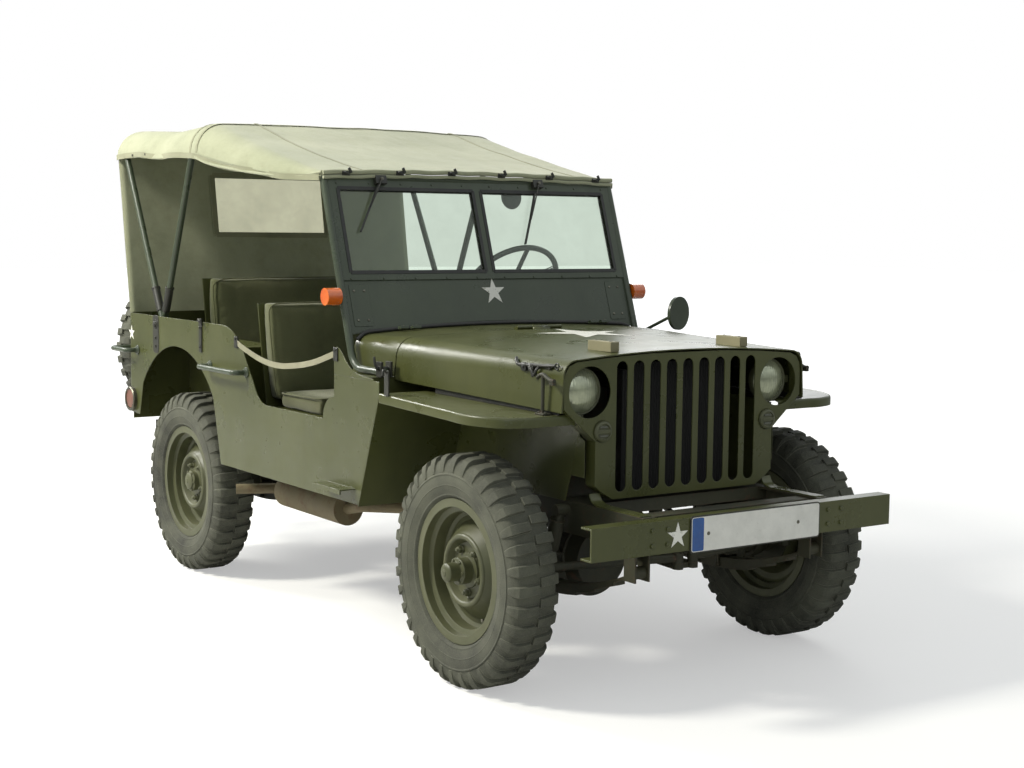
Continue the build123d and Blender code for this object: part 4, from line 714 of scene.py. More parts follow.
def roof_row(station):
    """Points across the sheet at a station, from the right hem to the left one."""
    half, crown, drop, shoulder = (lerp(ROOF, station, c) for c in (1, 2, 3, 4))
    hem = lerp(HEM, station, 1)
    edge = crown - drop
    start, end = (SHEET_FRONT, FRONT_BOW) if station < FRONT_BOW else (FRONT_BOW, REAR_BOW)
    between = max(0.0, math.sin(math.pi * (station - start) / (end - start)))
    row = []
    steps_side, steps_round, steps_top = 10, 8, 30
    for k in range(steps_side):
        share = k / steps_side
        z = hem + share * (edge - shoulder - hem)
        flutter = 0.0045 * math.sin(station * 21 + 1.3) * (1 - share) * between
        belly = -0.008 * between * math.sin(math.pi * min(share + 0.15, 1))
        row.append((-half - belly - flutter - 0.003 * (1 - share), z))
    for k in range(steps_round):
        a = math.pi * 0.5 * k / steps_round
        row.append((-half + shoulder * (1 - math.cos(a)), edge - shoulder * (1 - math.sin(a))))
    flat = half - shoulder
    for k in range(steps_top + 1):
        share = -1 + 2 * k / steps_top
        sag = 0.016 * between * (1 - share * share)
        row.append((share * flat, crown - drop * share * share - sag))
    for x, z in reversed(row[:steps_side + steps_round]):
        row.append((-x, z))
    out = []
    for i, (x, z) in enumerate(row):
        edge_share = min(i, len(row) - 1 - i) / 18
        ripple = 0.0035 * noise.noise((x * 5.0, station * 3.2, z * 4.0))
        ripple += 0.0018 * noise.noise((x * 14, station * 9, z * 12))
        pull = 0.0030 * math.sin(x * 38 + station * 7) * math.exp(-abs(station - FRONT_BOW) * 9) * between
        lift = ripple + pull
        wave = 0.0060 * math.sin(station * 11.0 + x * 2) * max(0.0, 1 - edge_share * 3) * between
        out.append(at(x, station, z + lift + wave))
    return out


def spread(low, high, count):
    return [low + (high - low) * k / count for k in range(count)]


stations = spread(0.97, 1.0, 2) + spread(1.0, 1.855, 36) + spread(1.855, 1.935, 8) + spread(1.935, 2.655, 30)
stations += spread(2.655, 2.692, 6) + [2.692]
roof = Shape()
rows = [roof_row(s) for s in stations]
last = rows[-1]
# Skirt behind the rear bow, in rows: depth, distance back
SKIRT = [(0.004, 0.006), (0.014, 0.009), (0.035, 0.010), (0.060, 0.010), (0.085, 0.009), (0.104, 0.0085)]
SKIRT_FOOT = 1.6925
for depth, back in SKIRT:
    row = []
    for point in last:
        side_share = min(1.0, max(0.0, (abs(point.x) - 0.575) / 0.12))
        inward = point.copy()
        if point.z > 1.693:
            inward.z = point.z - min(depth, max(point.z - SKIRT_FOOT, 0.0005 + depth * 0.05))
        else:
            inward.z = point.z - depth * 0.02
        inward.y += back * (1 - 0.55 * side_share) + 0.0015 * math.sin(point.x * 17)
        shrink = 1 - (0.0016 if abs(point.x) > 0.6 else 0) * depth / 0.104
        inward.x *= shrink
        row.append(inward)
    rows.append(row)
roof.grid(rows)
roof_canvas = piece("roof_canvas", roof, [canvas], "body", angle=180)
subdivide = roof_canvas.modifiers.new("smooth", "SUBSURF")
subdivide.levels = subdivide.render_levels = 1
thicken(roof_canvas, 0.0022)


# Rear curtain: hangs from the roof's end to the tub, with a stitched clear window
CURTAIN_TOP, CURTAIN_FOOT = (2.6985, 1.708), (2.566, 0.968)
WINDOW = (0.276, 1.349, 1.611)  # half width, foot, top


def curtain_point(x, z, out=0.0):
    share = (z - CURTAIN_FOOT[1]) / (CURTAIN_TOP[1] - CURTAIN_FOOT[1])
    station = CURTAIN_FOOT[0] + share * (CURTAIN_TOP[0] - CURTAIN_FOOT[0])
    hang = 0.006 * math.sin(x * 9.5 + 0.6) * (1.0 - share) + 0.004 * noise.noise((x * 4, z * 3, 2.0))
    drape = 0.0035 * math.sin(x * 26 + z * 5) * max(0.0, 0.8 - share)
    near = max(0.0, 1 - max(abs(x) / 0.34, abs(z - 1.48) / 0.19))
    return at(x, station + (hang + drape) * (1 - min(1.0, near * 3)) + out, z)


curtain = Shape()
xs = sorted(set([round(-0.700 + 1.400 * k / 56, 4) for k in range(57)] + [-WINDOW[0], WINDOW[0]]))
zs = sorted(set([round(CURTAIN_FOOT[1] + 0.740 * k / 36, 4) for k in range(37)] + [WINDOW[1], WINDOW[2]]))
points = [curtain_point(x, z) for z in zs for x in xs]
faces = []
for i in range(len(zs) - 1):
    for j in range(len(xs) - 1):
        inside = abs(xs[j] + xs[j + 1]) / 2 < WINDOW[0] and WINDOW[1] < (zs[i] + zs[i + 1]) / 2 < WINDOW[2]
        if not inside:
            a = i * len(xs) + j
            faces.append((a, a + 1, a + len(xs) + 1, a + len(xs)))
curtain.add(points, faces)
rear_curtain = piece("rear_curtain", curtain, [canvas], "body", angle=180)
thicken(rear_curtain, 0.002, 0)
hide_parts("canvas_top")

window = Shape()
wx = [-WINDOW[0] - 0.012 + (2 * WINDOW[0] + 0.024) * k / 24 for k in range(25)]
wz = [WINDOW[1] - 0.012 + (WINDOW[2] - WINDOW[1] + 0.024) * k / 14 for k in range(15)]
window.grid([[curtain_point(x, z, 0.0012 + 0.0016 * noise.noise((x * 6, z * 8, 5))) for x in wx] for z in wz])
curtain_window = piece("curtain_window", window, [plastic_pane], "body", angle=180)
thicken(curtain_window, 0.0008)
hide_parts("rear_window")

trim = Shape()
half, low, high = WINDOW
frame_line = [(-half, low), (half, low), (half, high), (-half, high)]
for (x0, z0), (x1, z1) in zip(frame_line, frame_line[1:] + frame_line[:1]):
    for out in (-0.0022, 0.0030):
        path = [curtain_point(x0 + (x1 - x0) * k / 16, z0 + (z1 - z0) * k / 16, out) for k in range(17)]
        strip(trim, path, Z if z0 == z1 else X, 0.024, 0.0014)
for side in (-1, 1):
    path = [curtain_point(side * 0.691, CURTAIN_FOOT[1] + 0.728 * k / 24, 0.0018) for k in range(25)]
    strip(trim, path, X, 0.020, 0.0014)
path = [curtain_point(-0.690 + 1.38 * k / 40, CURTAIN_FOOT[1] + 0.010, 0.0018) for k in range(41)]
strip(trim, path, Z, 0.022, 0.0014)
curtain_trim = piece("curtain_trim", trim, [inner_tape], "body")

# Hems and seams of the roof, as doubled strips
hems = Shape()
for end, inset in ((0, -0.0008), (-1, 0.0008)):
    strip(hems, [row[end] + Vector((inset, 0, 0.010)) for row in rows[:-len(SKIRT)]], Z, 0.021, 0.0016)
for station in (1.868, 1.926):
    strip(hems, [p + Z * 0.0012 for p in roof_row(station)[8:-8]], Y, 0.016, 0.0012)
for x_index in (22, 45):
    strip(hems, [row[x_index] + Z * 0.0014 for row in rows[:-len(SKIRT)]], X, 0.013, 0.0012)
piece("roof_hems", hems, [inner_tape], "body")


# Windshield: places on its sloping plane
lean = math.atan2(SCREEN_TOP[0] - SCREEN_FOOT[0], SCREEN_TOP[1] - SCREEN_FOOT[1])
slope_up = Vector((0, math.sin(lean), math.cos(lean)))
slope_out = Vector((0, -math.cos(lean), math.sin(lean)))


def screen(x, height, out=0.0):
    along = (height - SCREEN_FOOT[1]) / math.cos(lean)
    return at(x, SCREEN_FOOT[0], SCREEN_FOOT[1]) + slope_up * along + slope_out * out


# Rolled front edge of the canvas and its turn buttons over the windshield's top tube
def front_edge(x):
    """Height of the canvas's front edge."""
    return 1.583 + 0.011 * (1 - (x / 0.632) ** 2)


roll = Shape()
path = []
for k in range(61):
    x = -0.632 + 1.264 * k / 60
    lift = front_edge(x)
    path.append(at(x, 0.9635 + 0.0012 * math.sin(x * 23), lift + 0.0014 * math.sin(x * 41)))
tube(roll, path, 0.0085, 12)
tube(roll, [p + Vector((0, -0.004, -0.016)) for p in path], 0.0065, 10)
for side in (-1, 1):
    path = smooth([
        at(side * 0.634, 0.966, 1.584), at(side * 0.648, 1.10, 1.572), at(side * 0.668, 1.30, 1.579),
        at(side * 0.688, 1.55, 1.602), at(side * 0.701, 1.75, 1.627), at(side * 0.708, 1.87, 1.655),
    ], 6)
    tube(roll, path, 0.0055, 8)
piece("front_roll", roll, [canvas], "body")

buttons = Shape()
for k in range(6):
    x = -0.545 + 1.09 * k / 5
    foot = at(x, 0.9545, front_edge(x) - 0.004)
    block(buttons, foot, (0.030, 0.003, 0.016))
    tube(buttons, [foot, foot - Y * 0.009], 0.0035, 8)
    block(buttons, foot - Y * 0.010, (0.024, 0.004, 0.007), 0, Matrix.Rotation(0.5, 3, "Y"))
    ear = foot + Vector((0.016, -0.002, 0.010))
    block(buttons, ear, (0.010, 0.004, 0.020), 0, Matrix.Rotation(-0.5, 3, "Y"))
for side in (-1, 1):
    for station in (2.66, 2.52, 2.38):
        spot = at(side * 0.7075, station, lerp(HEM, station, 1) + 0.012)
        button(buttons, spot, X * side, 0.0055, 0.005, 0.002, 0.003, 16)
piece("top_fasteners", buttons, [black], "body", bevel=0.0006)


# Seats: six padded pieces, swollen by cloth pressure and then piped along their edges
def pad_mesh(name, corners_low, corners_high, pinch):
    """Closed pad between two quads of corners, with rounded rims and a crown."""
    shape = Shape()
    steps = 14
    layers = [(0.00, 0.955), (0.12, 0.990), (0.32, 1.0), (0.68, 1.0), (0.88, 0.990), (1.00, 0.955)]
    centre_low = sum((Vector(c) for c in corners_low), Vector()) / 4
    centre_high = sum((Vector(c) for c in corners_high), Vector()) / 4

    def spot(quad, centre, u, v, scale):
        a, b, c, d = (Vector(q) for q in quad)
        point = (a * (1 - u) + b * u) * (1 - v) + (d * (1 - u) + c * u) * v
        mu, mv = 2 * u - 1, 2 * v - 1
        corner = 1 - 0.035 * (mu * mu) * (mv * mv)
        return centre + (point - centre) * scale * corner

    rows = []
    ring = [(k / steps, 0) for k in range(steps)] + [(1, k / steps) for k in range(steps)]
    ring += [(1 - k / steps, 1) for k in range(steps)] + [(0, 1 - k / steps) for k in range(steps)]
    for share, scale in layers:
        row = []
        for u, v in ring:
            low = spot(corners_low, centre_low, u, v, scale)
            high = spot(corners_high, centre_high, u, v, scale)
            row.append(low + (high - low) * share)
        rows.append(row)
    shape.grid(rows, wrap_cols=True)
    for quad, centre, swell in ((corners_low, centre_low, 0.0), (corners_high, centre_high, pinch)):
        away = (centre_high - centre_low).normalized() * (1 if swell else -1)
        grid = []
        for i in range(steps + 1):
            row = []
            for j in range(steps + 1):
                u, v = j / steps, i / steps
                crown = swell * (1 - (2 * u - 1) ** 4) * (1 - (2 * v - 1) ** 4)
                row.append(spot(quad, centre, u, v, 0.955) + away * crown)
            grid.append(row)
        shape.grid(grid)
    mesh = bpy.data.meshes.new(name)
    mesh.from_pydata([tuple(p) for p in shape.points], [], shape.faces)
    work = bmesh.new()
    work.from_mesh(mesh)
    bmesh.ops.remove_doubles(work, verts=work.verts, dist=0.0004)
    bmesh.ops.recalc_face_normals(work, faces=work.faces)
    work.to_mesh(mesh)
    work.free()
    return link(name, mesh)


def apply_modifiers(thing):
    """Puts the evaluated mesh in place of the object's own."""
    evaluated = thing.evaluated_get(bpy.context.evaluated_depsgraph_get())
    mesh = bpy.data.meshes.new_from_object(evaluated)
    thing.modifiers.clear()
    thing.data = mesh


def swell(thing, voxel, cap):
    """Cloth pressure on a remeshed copy; no point moves further than the cap."""
    remesh = thing.modifiers.new("remesh", "REMESH")
    remesh.mode = "VOXEL"
    remesh.voxel_size = voxel
    apply_modifiers(thing)
    start = [v.co.copy() for v in thing.data.vertices]
    scene = bpy.context.scene
    cloth_modifier = thing.modifiers.new("cloth", "CLOTH")
    settings = cloth_modifier.settings
    settings.use_pressure = True
    settings.uniform_pressure_force = 4
    settings.effector_weights.gravity = 0
    settings.quality = 4
    for number in range(1, 21):
        scene.frame_set(number)
    apply_modifiers(thing)
    scene.frame_set(1)
    for vertex, first in zip(thing.data.vertices, start):
        move = vertex.co - first
        if move.length > cap:
            vertex.co = first + move.normalized() * cap


def finish_pad(thing, wrinkle):
    """Creases, one subdivision, material and attachment to the body of a pad."""
    mesh = thing.data
    normals = [vertex.normal.copy() for vertex in mesh.vertices]
    for vertex, normal in zip(mesh.vertices, normals):
        p = vertex.co
        crease = noise.noise((p.x * 9, p.y * 9, p.z * 9)) * 0.6
        crease += noise.noise((p.x * 26, p.y * 15, p.z * 20)) * 0.35
        vertex.co = p + normal * crease * wrinkle
    mesh.materials.clear()
    mesh.materials.append(seat_cloth)
    mesh.polygons.foreach_set("use_smooth", [True] * len(mesh.polygons))
    level = thing.modifiers.new("smooth", "SUBSURF")
    level.levels = level.render_levels = 1
    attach(thing, "body")


# Seats: name, x, front and rear station, base and top height, width
SEATS = [
    ("right", -0.420, 0.985, 1.400, 0.728, 1.125, 0.430),
    ("left", 0.420, 0.985, 1.400, 0.728, 1.125, 0.430),
    ("bench", 0.0, 1.960, 2.330, 0.790, 1.185, 0.894),
]
CUSHION = 0.062
PAD_PINCH, PAD_VOXEL, SWELL_CAP, WRINKLE = 0.004, 0.0080, 0.006, 0.0022


def pad_face(x, half, near, far):
    """Corners of a pad's face between two edges, each a station and a height."""
    return [at(x - half, *near), at(x + half, *near), at(x + half, *far), at(x - half, *far)]


piping = Shape()
for name, x, front, rear, base, top, width in SEATS:
    half = width / 2 - 0.004
    lift = 0.0015
    behind = rear - CUSHION - 0.020
    bottom_quad = pad_face(x, half, (front + 0.008, base + lift), (behind, base + lift))
    top_quad = pad_face(x, half, (front + 0.006, base + 0.060), (behind, base + 0.054))
    rate = 0.070 / (top - 0.020 - base)
    foot_y = rear + 0.012 * rate - 0.002
    head_y = rear + 0.070 - 0.002
    tall = top - 0.004
    rear_quad = pad_face(x, half, (foot_y, base + 0.020), (head_y - 0.002, tall - 0.006))
    front_quad = pad_face(x, half, (foot_y - 0.070, base + 0.020), (head_y - 0.064, tall - 0.010))
    faces = (("pad", bottom_quad, top_quad, 0.55), ("back", rear_quad, front_quad, 0.5))
    for part, inner, outer, fill in faces:
        pad = pad_mesh(f"seat_{part}_{name}", inner, outer, PAD_PINCH)
        swell(pad, PAD_VOXEL, SWELL_CAP)
        finish_pad(pad, WRINKLE)
    for quad in (top_quad, front_quad):
        middle = sum(quad, Vector()) / 4
        loop = []
        for i in range(4):
            a, b = quad[i], quad[(i + 1) % 4]
            for k in range(8):
                u = (k + 0.5) / 8
                point = a * (1 - u) + b * u
                corner = 1 - 0.035 * (2 * u - 1) ** 4
                loop.append(middle + (point - middle) * 0.985 * corner)
        tube(piping, smooth(loop, 3, closed=True), 0.0028, 8, closed=True)
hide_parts("seat_cushions")
piece("seat_piping", piping, [seat_cloth], "body")


# White stars: thin painted shapes lying on what carries them
def star(radius, tip=90, inner=0.382):
    out = []
    for k in range(10):
        a = math.radians(tip + 36 * k)
        reach = radius if k % 2 == 0 else radius * inner
        out.append((reach * math.cos(a), reach * math.sin(a)))
    return out


trees = {}


def skin_height(node, x, y, start=1.4):
    """Height of a node's top surface under a point."""
    if node not in trees:
        mesh = nodes[node].data
        corners = [v.co.copy() for v in mesh.vertices]
        trees[node] = BVHTree.FromPolygons(corners, [tuple(p.vertices) for p in mesh.polygons])
    place = trees[node].ray_cast(Vector((x, y, start)), Vector((0, 0, -1)))[0]
    return place.z if place else None


def lying_star(shape, node, x, y, radius, tip):
    outline = star(radius, tip)
    rings = 10
    points, faces = [], []
    for i in range(rings + 1):
        for u, v in outline:
            px, py = x + u * i / rings, y + v * i / rings
            points.append(Vector((px, py, skin_height(node, px, py) + 0.0007)))
    for i in range(rings):
        for j in range(10):
            a, b = i * 10 + j, i * 10 + (j + 1) % 10
            faces.append((a, b, b + 10, a + 10))
    shape.add(points, faces)


stars = Shape()
plate(stars, star(0.052), screen(0.003, 1.165, 0.0026), X, slope_up, 0.0006)
plate(stars, star(0.040), at(-0.283, BUMPER_FACE - 0.0002, 0.522), X, Z, 0.0008)
for side in (-1, 1):
    plate(stars, star(0.034), at(side * 0.7242, 2.505, 0.935), Y * side, Z, 0.0006)
piece("white_stars", stars, [white_paint], "body", flat=True)
hood_star_shape = Shape()
lying_star(hood_star_shape, "hood", 0.045, aft(0.335), 0.180, 90)
piece("hood_star", hood_star_shape, [white_paint], "hood", angle=180)

# Number plate, left bare
board = Shape()
plate(board, rounded(0.520, 0.110, 0.010), at(0.022, BUMPER_FACE - 0.0005, 0.519), X, Z, 0.004, 0)
plate(board, rounded(0.512, 0.102, 0.008), at(0.022, BUMPER_FACE - 0.0045, 0.519), X, Z, 0.0008, 1)
plate(board, rounded(0.044, 0.098, 0.006), at(-0.210, BUMPER_FACE - 0.0053, 0.519), X, Z, 0.0004, 2)
for x in (-0.17, 0.19):
    button(board, at(x, BUMPER_FACE - 0.005, 0.519), -Y, 0.006, 0.005, 0.002, 0.0025, 14, 3)
piece("number_plate", board, [black, plate_white, plate_blue, dull_metal], "body",
      bevel=0.0006)


# Headlamps: bezel, domed lens and bracket arm; marker lamps: slotted covers
lamps = Shape()
covers = Shape()
LAMP = (0.381, -0.257, 0.915)
for side in (-1, 1):
    centre = at(side * LAMP[0], LAMP[1] + 0.046, LAMP[2])
    lathe(lamps, centre, -Y, [
        (0.056, -0.026), (0.066, -0.022), (0.0715, -0.010), (0.0720, 0.000), (0.0700, 0.0045),
        (0.0665, 0.0030), (0.0650, -0.004), (0.052, -0.020),
    ], 64, 0, closed=True)
    dome = [(0.0652 * math.sin(0.9 * t) / math.sin(0.9), 0.058 * (math.cos(0.9 * t) - math.cos(0.9))) for t in
            [1 - k / 12 for k in range(13)]]
    lathe(lamps, centre, -Y, [(0.0652, -0.006)] + dome, 64, 1)
    for k in range(3):
        a = math.radians(90 + 120 * k)
        spot = centre + Vector((math.cos(a) * 0.0690, -0.003, math.sin(a) * 0.0690))
        bolt(lamps, spot, -Y, 0.0028, 0.003, 2)
    arm = at(side * 0.463, LAMP[1] + 0.062, LAMP[2])
    block(lamps, (arm + centre + X * side * 0.066) / 2, (0.040, 0.006, 0.024), 0)
    low = at(side * 0.333, LAMP[1] - 0.003, 0.795)
    lathe(covers, low, -Y, [
        (0, -0.040), (0.0270, -0.040), (0.0290, -0.012), (0.0325, 0.000), (0.0300, 0.006),
        (0.0235, 0.0085), (0.0230, 0.004), (0, 0.004),
    ], 40, 0)
    block(covers, low - Y * 0.0068, (0.046, 0.004, 0.0115), 0)
    for dz in (0.0135, -0.0135):
        block(covers, low - Y * 0.0050 + Z * dz, (0.030, 0.003, 0.0065), 1)
headlamps = piece("headlamp_lenses", lamps, [olive_low, lamp_glass, dull_metal], "body",
                  angle=30)
piece("marker_covers", covers, [olive_low, marker_glass], "body", bevel=0.0012)
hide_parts("front_lamps")


# Wipers, their motors on the top tube, and the round inside mirror
wipers = Shape()
MOTOR_HEIGHT = 1.5555
for x0, x1, h1 in ((-0.406, -0.514, 1.378), (0.273, 0.163, 1.308)):
    start = screen(x0, MOTOR_HEIGHT, 0.012)
    block(wipers, start + slope_out * 0.004, (0.044, 0.022, 0.030), 0, Matrix.Rotation(-lean, 3, "X"))
    tube(wipers, [start, start + slope_out * 0.024], 0.0055, 12, 1)
    middle = screen((x0 + x1) / 2, (MOTOR_HEIGHT + h1) / 2, 0.017)
    tube(wipers, smooth([start + slope_out * 0.022, middle + slope_out * 0.006, middle], 5), 0.0026, 8, 0)
    direction = (screen(x1, h1) - screen(x0, MOTOR_HEIGHT)).normalized()
    side_way = direction.cross(slope_out).normalized()
    first, second = middle - direction * 0.105, middle + direction * 0.112
    strip(wipers, [first + slope_out * -0.003, middle, second + slope_out * -0.003], side_way, 0.007, 0.004)
    blade = [first - slope_out * 0.007, middle - slope_out * 0.0045, second - slope_out * 0.007]
    strip(wipers, blade, side_way, 0.003, 0.009, 2)
inside = screen(0.205, 1.532, -0.060)
shell = [(0, -0.006), (0.030, -0.005), (0.044, 0.002), (0.046, 0.006), (0.044, 0.009), (0, 0.009)]
lathe(wipers, inside, Vector((0, 0.9, -0.1)), shell, 40)
tube(wipers, smooth([screen(0.205, 1.560, -0.008), screen(0.205, 1.556, -0.035), inside], 5), 0.0035, 10)
piece("wipers", wipers, [black, dull_metal, seal_rubber], "body", bevel=0.0005)

# Windshield fittings: glass seals, hinge plates, cowl seal, side clamps and their bolts
fit = Shape()
for side in (-1, 1):
    corners = ((0.017, 1.2365), (0.577, 1.2365), (0.577, 1.5275), (0.017, 1.5275))
    loop = [(side * x, z) for x, z in corners]
    for (x0, z0), (x1, z1) in zip(loop, loop[1:] + loop[:1]):
        width_way = slope_up if abs(z0 - z1) < 0.001 else X
        for out in (0.0085, -0.0085):
            strip(fit, [screen(x0, z0, out), screen(x1, z1, out)], width_way, 0.013, 0.003)
    for z in (1.215, 1.545):
        for k in range(5):
            x = side * (0.06 + 0.13 * k)
            button(fit, screen(x, z, 0.0085), slope_out, 0.0042, 0.0034, 0.0018, 0.0024, 12, 1)
    plate(fit, rounded(0.075, 0.150, 0.006), screen(side * 0.555, 1.125, 0.0022), X, slope_up, 0.0016, 1)
    for dx, dz in ((-0.02, 0.05), (0.02, -0.05), (0.02, 0.05), (-0.02, -0.05)):
        spot = screen(side * 0.555 + dx, 1.125 + dz, 0.0038)
        button(fit, spot, slope_out, 0.0048, 0.004, 0.002, 0.003, 12, 2)
    for x in (0.385, 0.435):
        block(fit, at(side * x, 0.741, 1.052), (0.034, 0.020, 0.010), 1, Matrix.Rotation(-0.25, 3, "X"))
        bolt(fit, at(side * x, 0.738, 1.056), (0, -0.3, 1), 0.005, 0.004, 2)
    for x in (0.640, 0.604):
        block(fit, at(side * x, 0.548, 0.930), (0.008, 0.034, 0.052), 3)
    tube(fit, [at(side * 0.622, 0.572, 0.918), at(side * 0.622, 0.540, 0.922)], 0.0130, 16, 1)
    tube(fit, [at(side * 0.596, 0.548, 0.934), at(side * 0.652, 0.548, 0.934)], 0.0062, 12, 3)
    grip = [at(side * 0.650, 0.548, 0.934), at(side * 0.656, 0.552, 0.950), at(side * 0.656, 0.556, 0.972)]
    tube(fit, smooth(grip, 5), 0.0045, 10, 3)
seal = []
for k in range(49):
    x = -0.596 + 1.192 * k / 48
    top = skin_height("cowl", max(-0.56, min(0.56, x)), aft(0.7785))
    drop = max(0.0, abs(x) - 0.555)
    seal.append(Vector((x, aft(0.778), (top or 1.045) + 0.007 - drop * drop * 14)))
tube(fit, seal, 0.0075, 10)
piece("windshield_fittings", fit, [seal_rubber, olive_painted_shade, dull_metal, black], "body",
      bevel=0.0005)


# Hood latches: a post with a cross bar on each fender and a hooked lever on the hood
def beside_hood(side, station, height, out):
    """Point at a distance out from the hood's skin, level with height."""
    start = Vector((side * 1.0, aft(station), height))
    place = trees["hood"].ray_cast(start, -X * side)[0]
    return place + X * side * out


def latch(side):
    base, hook = Shape(), Shape()
    head = beside_hood(side, -0.199, 0.900, 0.018) + Z * 0.068
    foot = Vector((head.x, head.y, skin_height("front_fenders", head.x, head.y)))
    tube(base, [foot, head], 0.0056, 12)
    block(base, foot + Z * 0.003, (0.026, 0.044, 0.006))
    for dy in (-0.015, 0.015):
        bolt(base, foot + Vector((0, dy, 0.006)), Z, 0.0050, 0.005)
    bar = [(0.027, -0.010), (0.014, -0.002), (-0.002, 0.001), (-0.022, -0.007), (-0.042, -0.014),
           (-0.058, -0.014)]
    tube(base, smooth([head + Vector((0, dy, dz)) for dy, dz in bar], 5), 0.0066, 12)
    block(base, head + Vector((0, -0.048, -0.018)), (0.012, 0.018, 0.018))
    lever = [(-0.040, 1.008), (-0.052, 0.999), (-0.066, 0.991), (-0.090, 0.990), (-0.140, 0.992),
             (-0.190, 0.993), (-0.226, 0.996)]
    claw = [(-0.118, 0.987), (-0.130, 0.980), (-0.139, 0.970), (-0.143, 0.958)]
    brace = [(-0.160, 0.989), (-0.152, 0.976), (-0.145, 0.962)]
    for line, out, steps, radius, sides in (
        (lever, 0.0100, 4, 0.0055, 12), (claw, 0.0105, 5, 0.0062, 10), (brace, 0.0105, 5, 0.0042, 10),
    ):
        path = smooth([beside_hood(side, station, z, out) for station, z in line], steps)
        tube(hook, path, radius, sides)
    for station in (-0.092, -0.124):
        block(hook, beside_hood(side, station, 0.985, 0.0045), (0.012, 0.026, 0.024))
        bolt(hook, beside_hood(side, station, 0.985, 0.0100), X * side, 0.0050, 0.005)
    block(hook, beside_hood(side, -0.196, 0.992, 0.0045), (0.012, 0.022, 0.016))
    ring = beside_hood(side, -0.235, 0.995, 0.0110)
    turns = (2 * math.pi * k / 20 for k in range(20))
    eye = [ring + Vector((0, math.cos(a) * 0.009, math.sin(a) * 0.009)) for a in turns]
    tube(hook, eye, 0.0028, 8, closed=True)
    return base, hook


for side, name in ((-1, "right"), (1, "left")):
    base, hook = latch(side)
    piece(f"latch_base_{name}", base, [chassis], "body", bevel=0.0008)
    piece(f"latch_hook_{name}", hook, [black], "hood", bevel=0.0008)

# Hood: the CAD panel with its two stub blocks taken off, and timber blocks lying along the car
STUB = (0.300, -0.190, 0.0452, 0.0192)  # x, station, and half sizes across and along


def bare_hood():
    mesh = nodes["hood"].data.copy()
    work = bmesh.new()
    work.from_mesh(mesh)
    bmesh.ops.remove_doubles(work, verts=work.verts, dist=0.00002)

    def in_stub(vertex):
        across, back = abs(abs(vertex.co.x) - STUB[0]), abs(vertex.co.y - aft(STUB[1]))
        return across < STUB[2] and back < STUB[3]

    stubs = [face for face in work.faces if all(in_stub(v) for v in face.verts)]
    bmesh.ops.delete(work, geom=stubs, context="FACES")
    open_edges = [e for e in work.edges if e.is_boundary and all(in_stub(v) for v in e.verts)]
    bmesh.ops.holes_fill(work, edges=open_edges, sides=0)
    bmesh.ops.recalc_face_normals(work, faces=work.faces)
    work.to_mesh(mesh)
    work.free()
    mesh.materials.clear()
    mesh.materials.append(olive)
    thing = link("hood_panel", mesh)
    mesh.set_sharp_from_angle(angle=math.radians(30))
    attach(thing, "hood")
    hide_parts("hood")


bare_hood()
blocks = Shape()
for side in (-1, 1):
    x, station = side * 0.2615, -0.162
    ground = skin_height("hood", x, aft(station))
    block(blocks, (x, aft(station), ground + 0.0145), (0.032, 0.116, 0.031))
    for dy in (-0.036, 0.036):
        spot = (x, aft(station) + dy, ground + 0.0298)
        button(blocks, spot, Z, 0.0055, 0.0045, 0.002, 0.003, 14, 1)
piece("hood_blocks", blocks, [timber, dull_metal], "hood", bevel=0.002)

# Safety strap, its end plates, and the hooks on the tub's sides
straps = Shape()
metal = Shape()
route = [
    at(-0.7266, 1.462, 0.962), at(-0.7275, 1.399, 0.944), at(-0.7290, 1.249, 0.913),
    at(-0.7290, 1.110, 0.903), at(-0.7280, 0.965, 0.915), at(-0.7270, 0.850, 0.934),
    at(-0.7266, 0.760, 0.957), at(-0.7264, 0.700, 0.974),
]
strip(straps, smooth(route, 6), Z, 0.020, 0.0025)
piece("safety_strap", straps, [webbing], "body")
for x, station, height in ((-0.7265, 1.466, 0.963), (-0.7265, 0.690, 0.974)):
    block(metal, at(x, station, height), (0.005, 0.028, 0.044))
    bolt(metal, at(x - 0.002, station, height + 0.013), -X, 0.005, 0.005)
for side in (-1, 1):
    lift = Vector((side * 0.7262, aft(1.790), 0.968))
    block(metal, lift, (0.005, 0.026, 0.130))
    bend = ((0.004, 0, 0.050), (0.014, -0.012, 0.062), (0.014, -0.030, 0.056), (0.008, -0.034, 0.036))
    tube(metal, smooth([lift + Vector((side * x, y, z)) for x, y, z in bend], 6), 0.0042, 10)
    for dz in (-0.045, 0.030):
        bolt(metal, lift + Vector((side * 0.002, 0, dz)), X * side, 0.0055, 0.005)
    block(metal, at(side * 0.7262, 0.352, 0.905), (0.005, 0.026, 0.080))
    bend = ((0.727, 0.352, 0.936), (0.740, 0.350, 0.948), (0.745, 0.348, 0.930))
    tube(metal, smooth([at(side * x, station, z) for x, station, z in bend], 5), 0.004, 10)
piece("strap_fittings", metal, [black], "body", bevel=0.0008)

# Cowl cheeks: the tub's side rises at the door's front edge to meet the windshield's tube
cheeks = Shape()
CHEEK = [(0.7055, 0.9052), (0.7055, 0.980), (0.699, 0.994), (0.686, 0.999), (0.668, 0.994), (0.648, 0.979),
         (0.622, 0.955), (0.592, 0.934), (0.552, 0.921), (0.500, 0.914), (0.440, 0.911), (0.440, 0.9052)]
for side in (-1, 1):
    face = [(aft(station), height) for station, height in CHEEK]
    plate(cheeks, face, Vector((side * 0.7237 - 0.0014, 0, 0)), Y, Z, 0.0028)
piece("cowl_cheeks", cheeks, [olive], "body", bevel=0.0010)

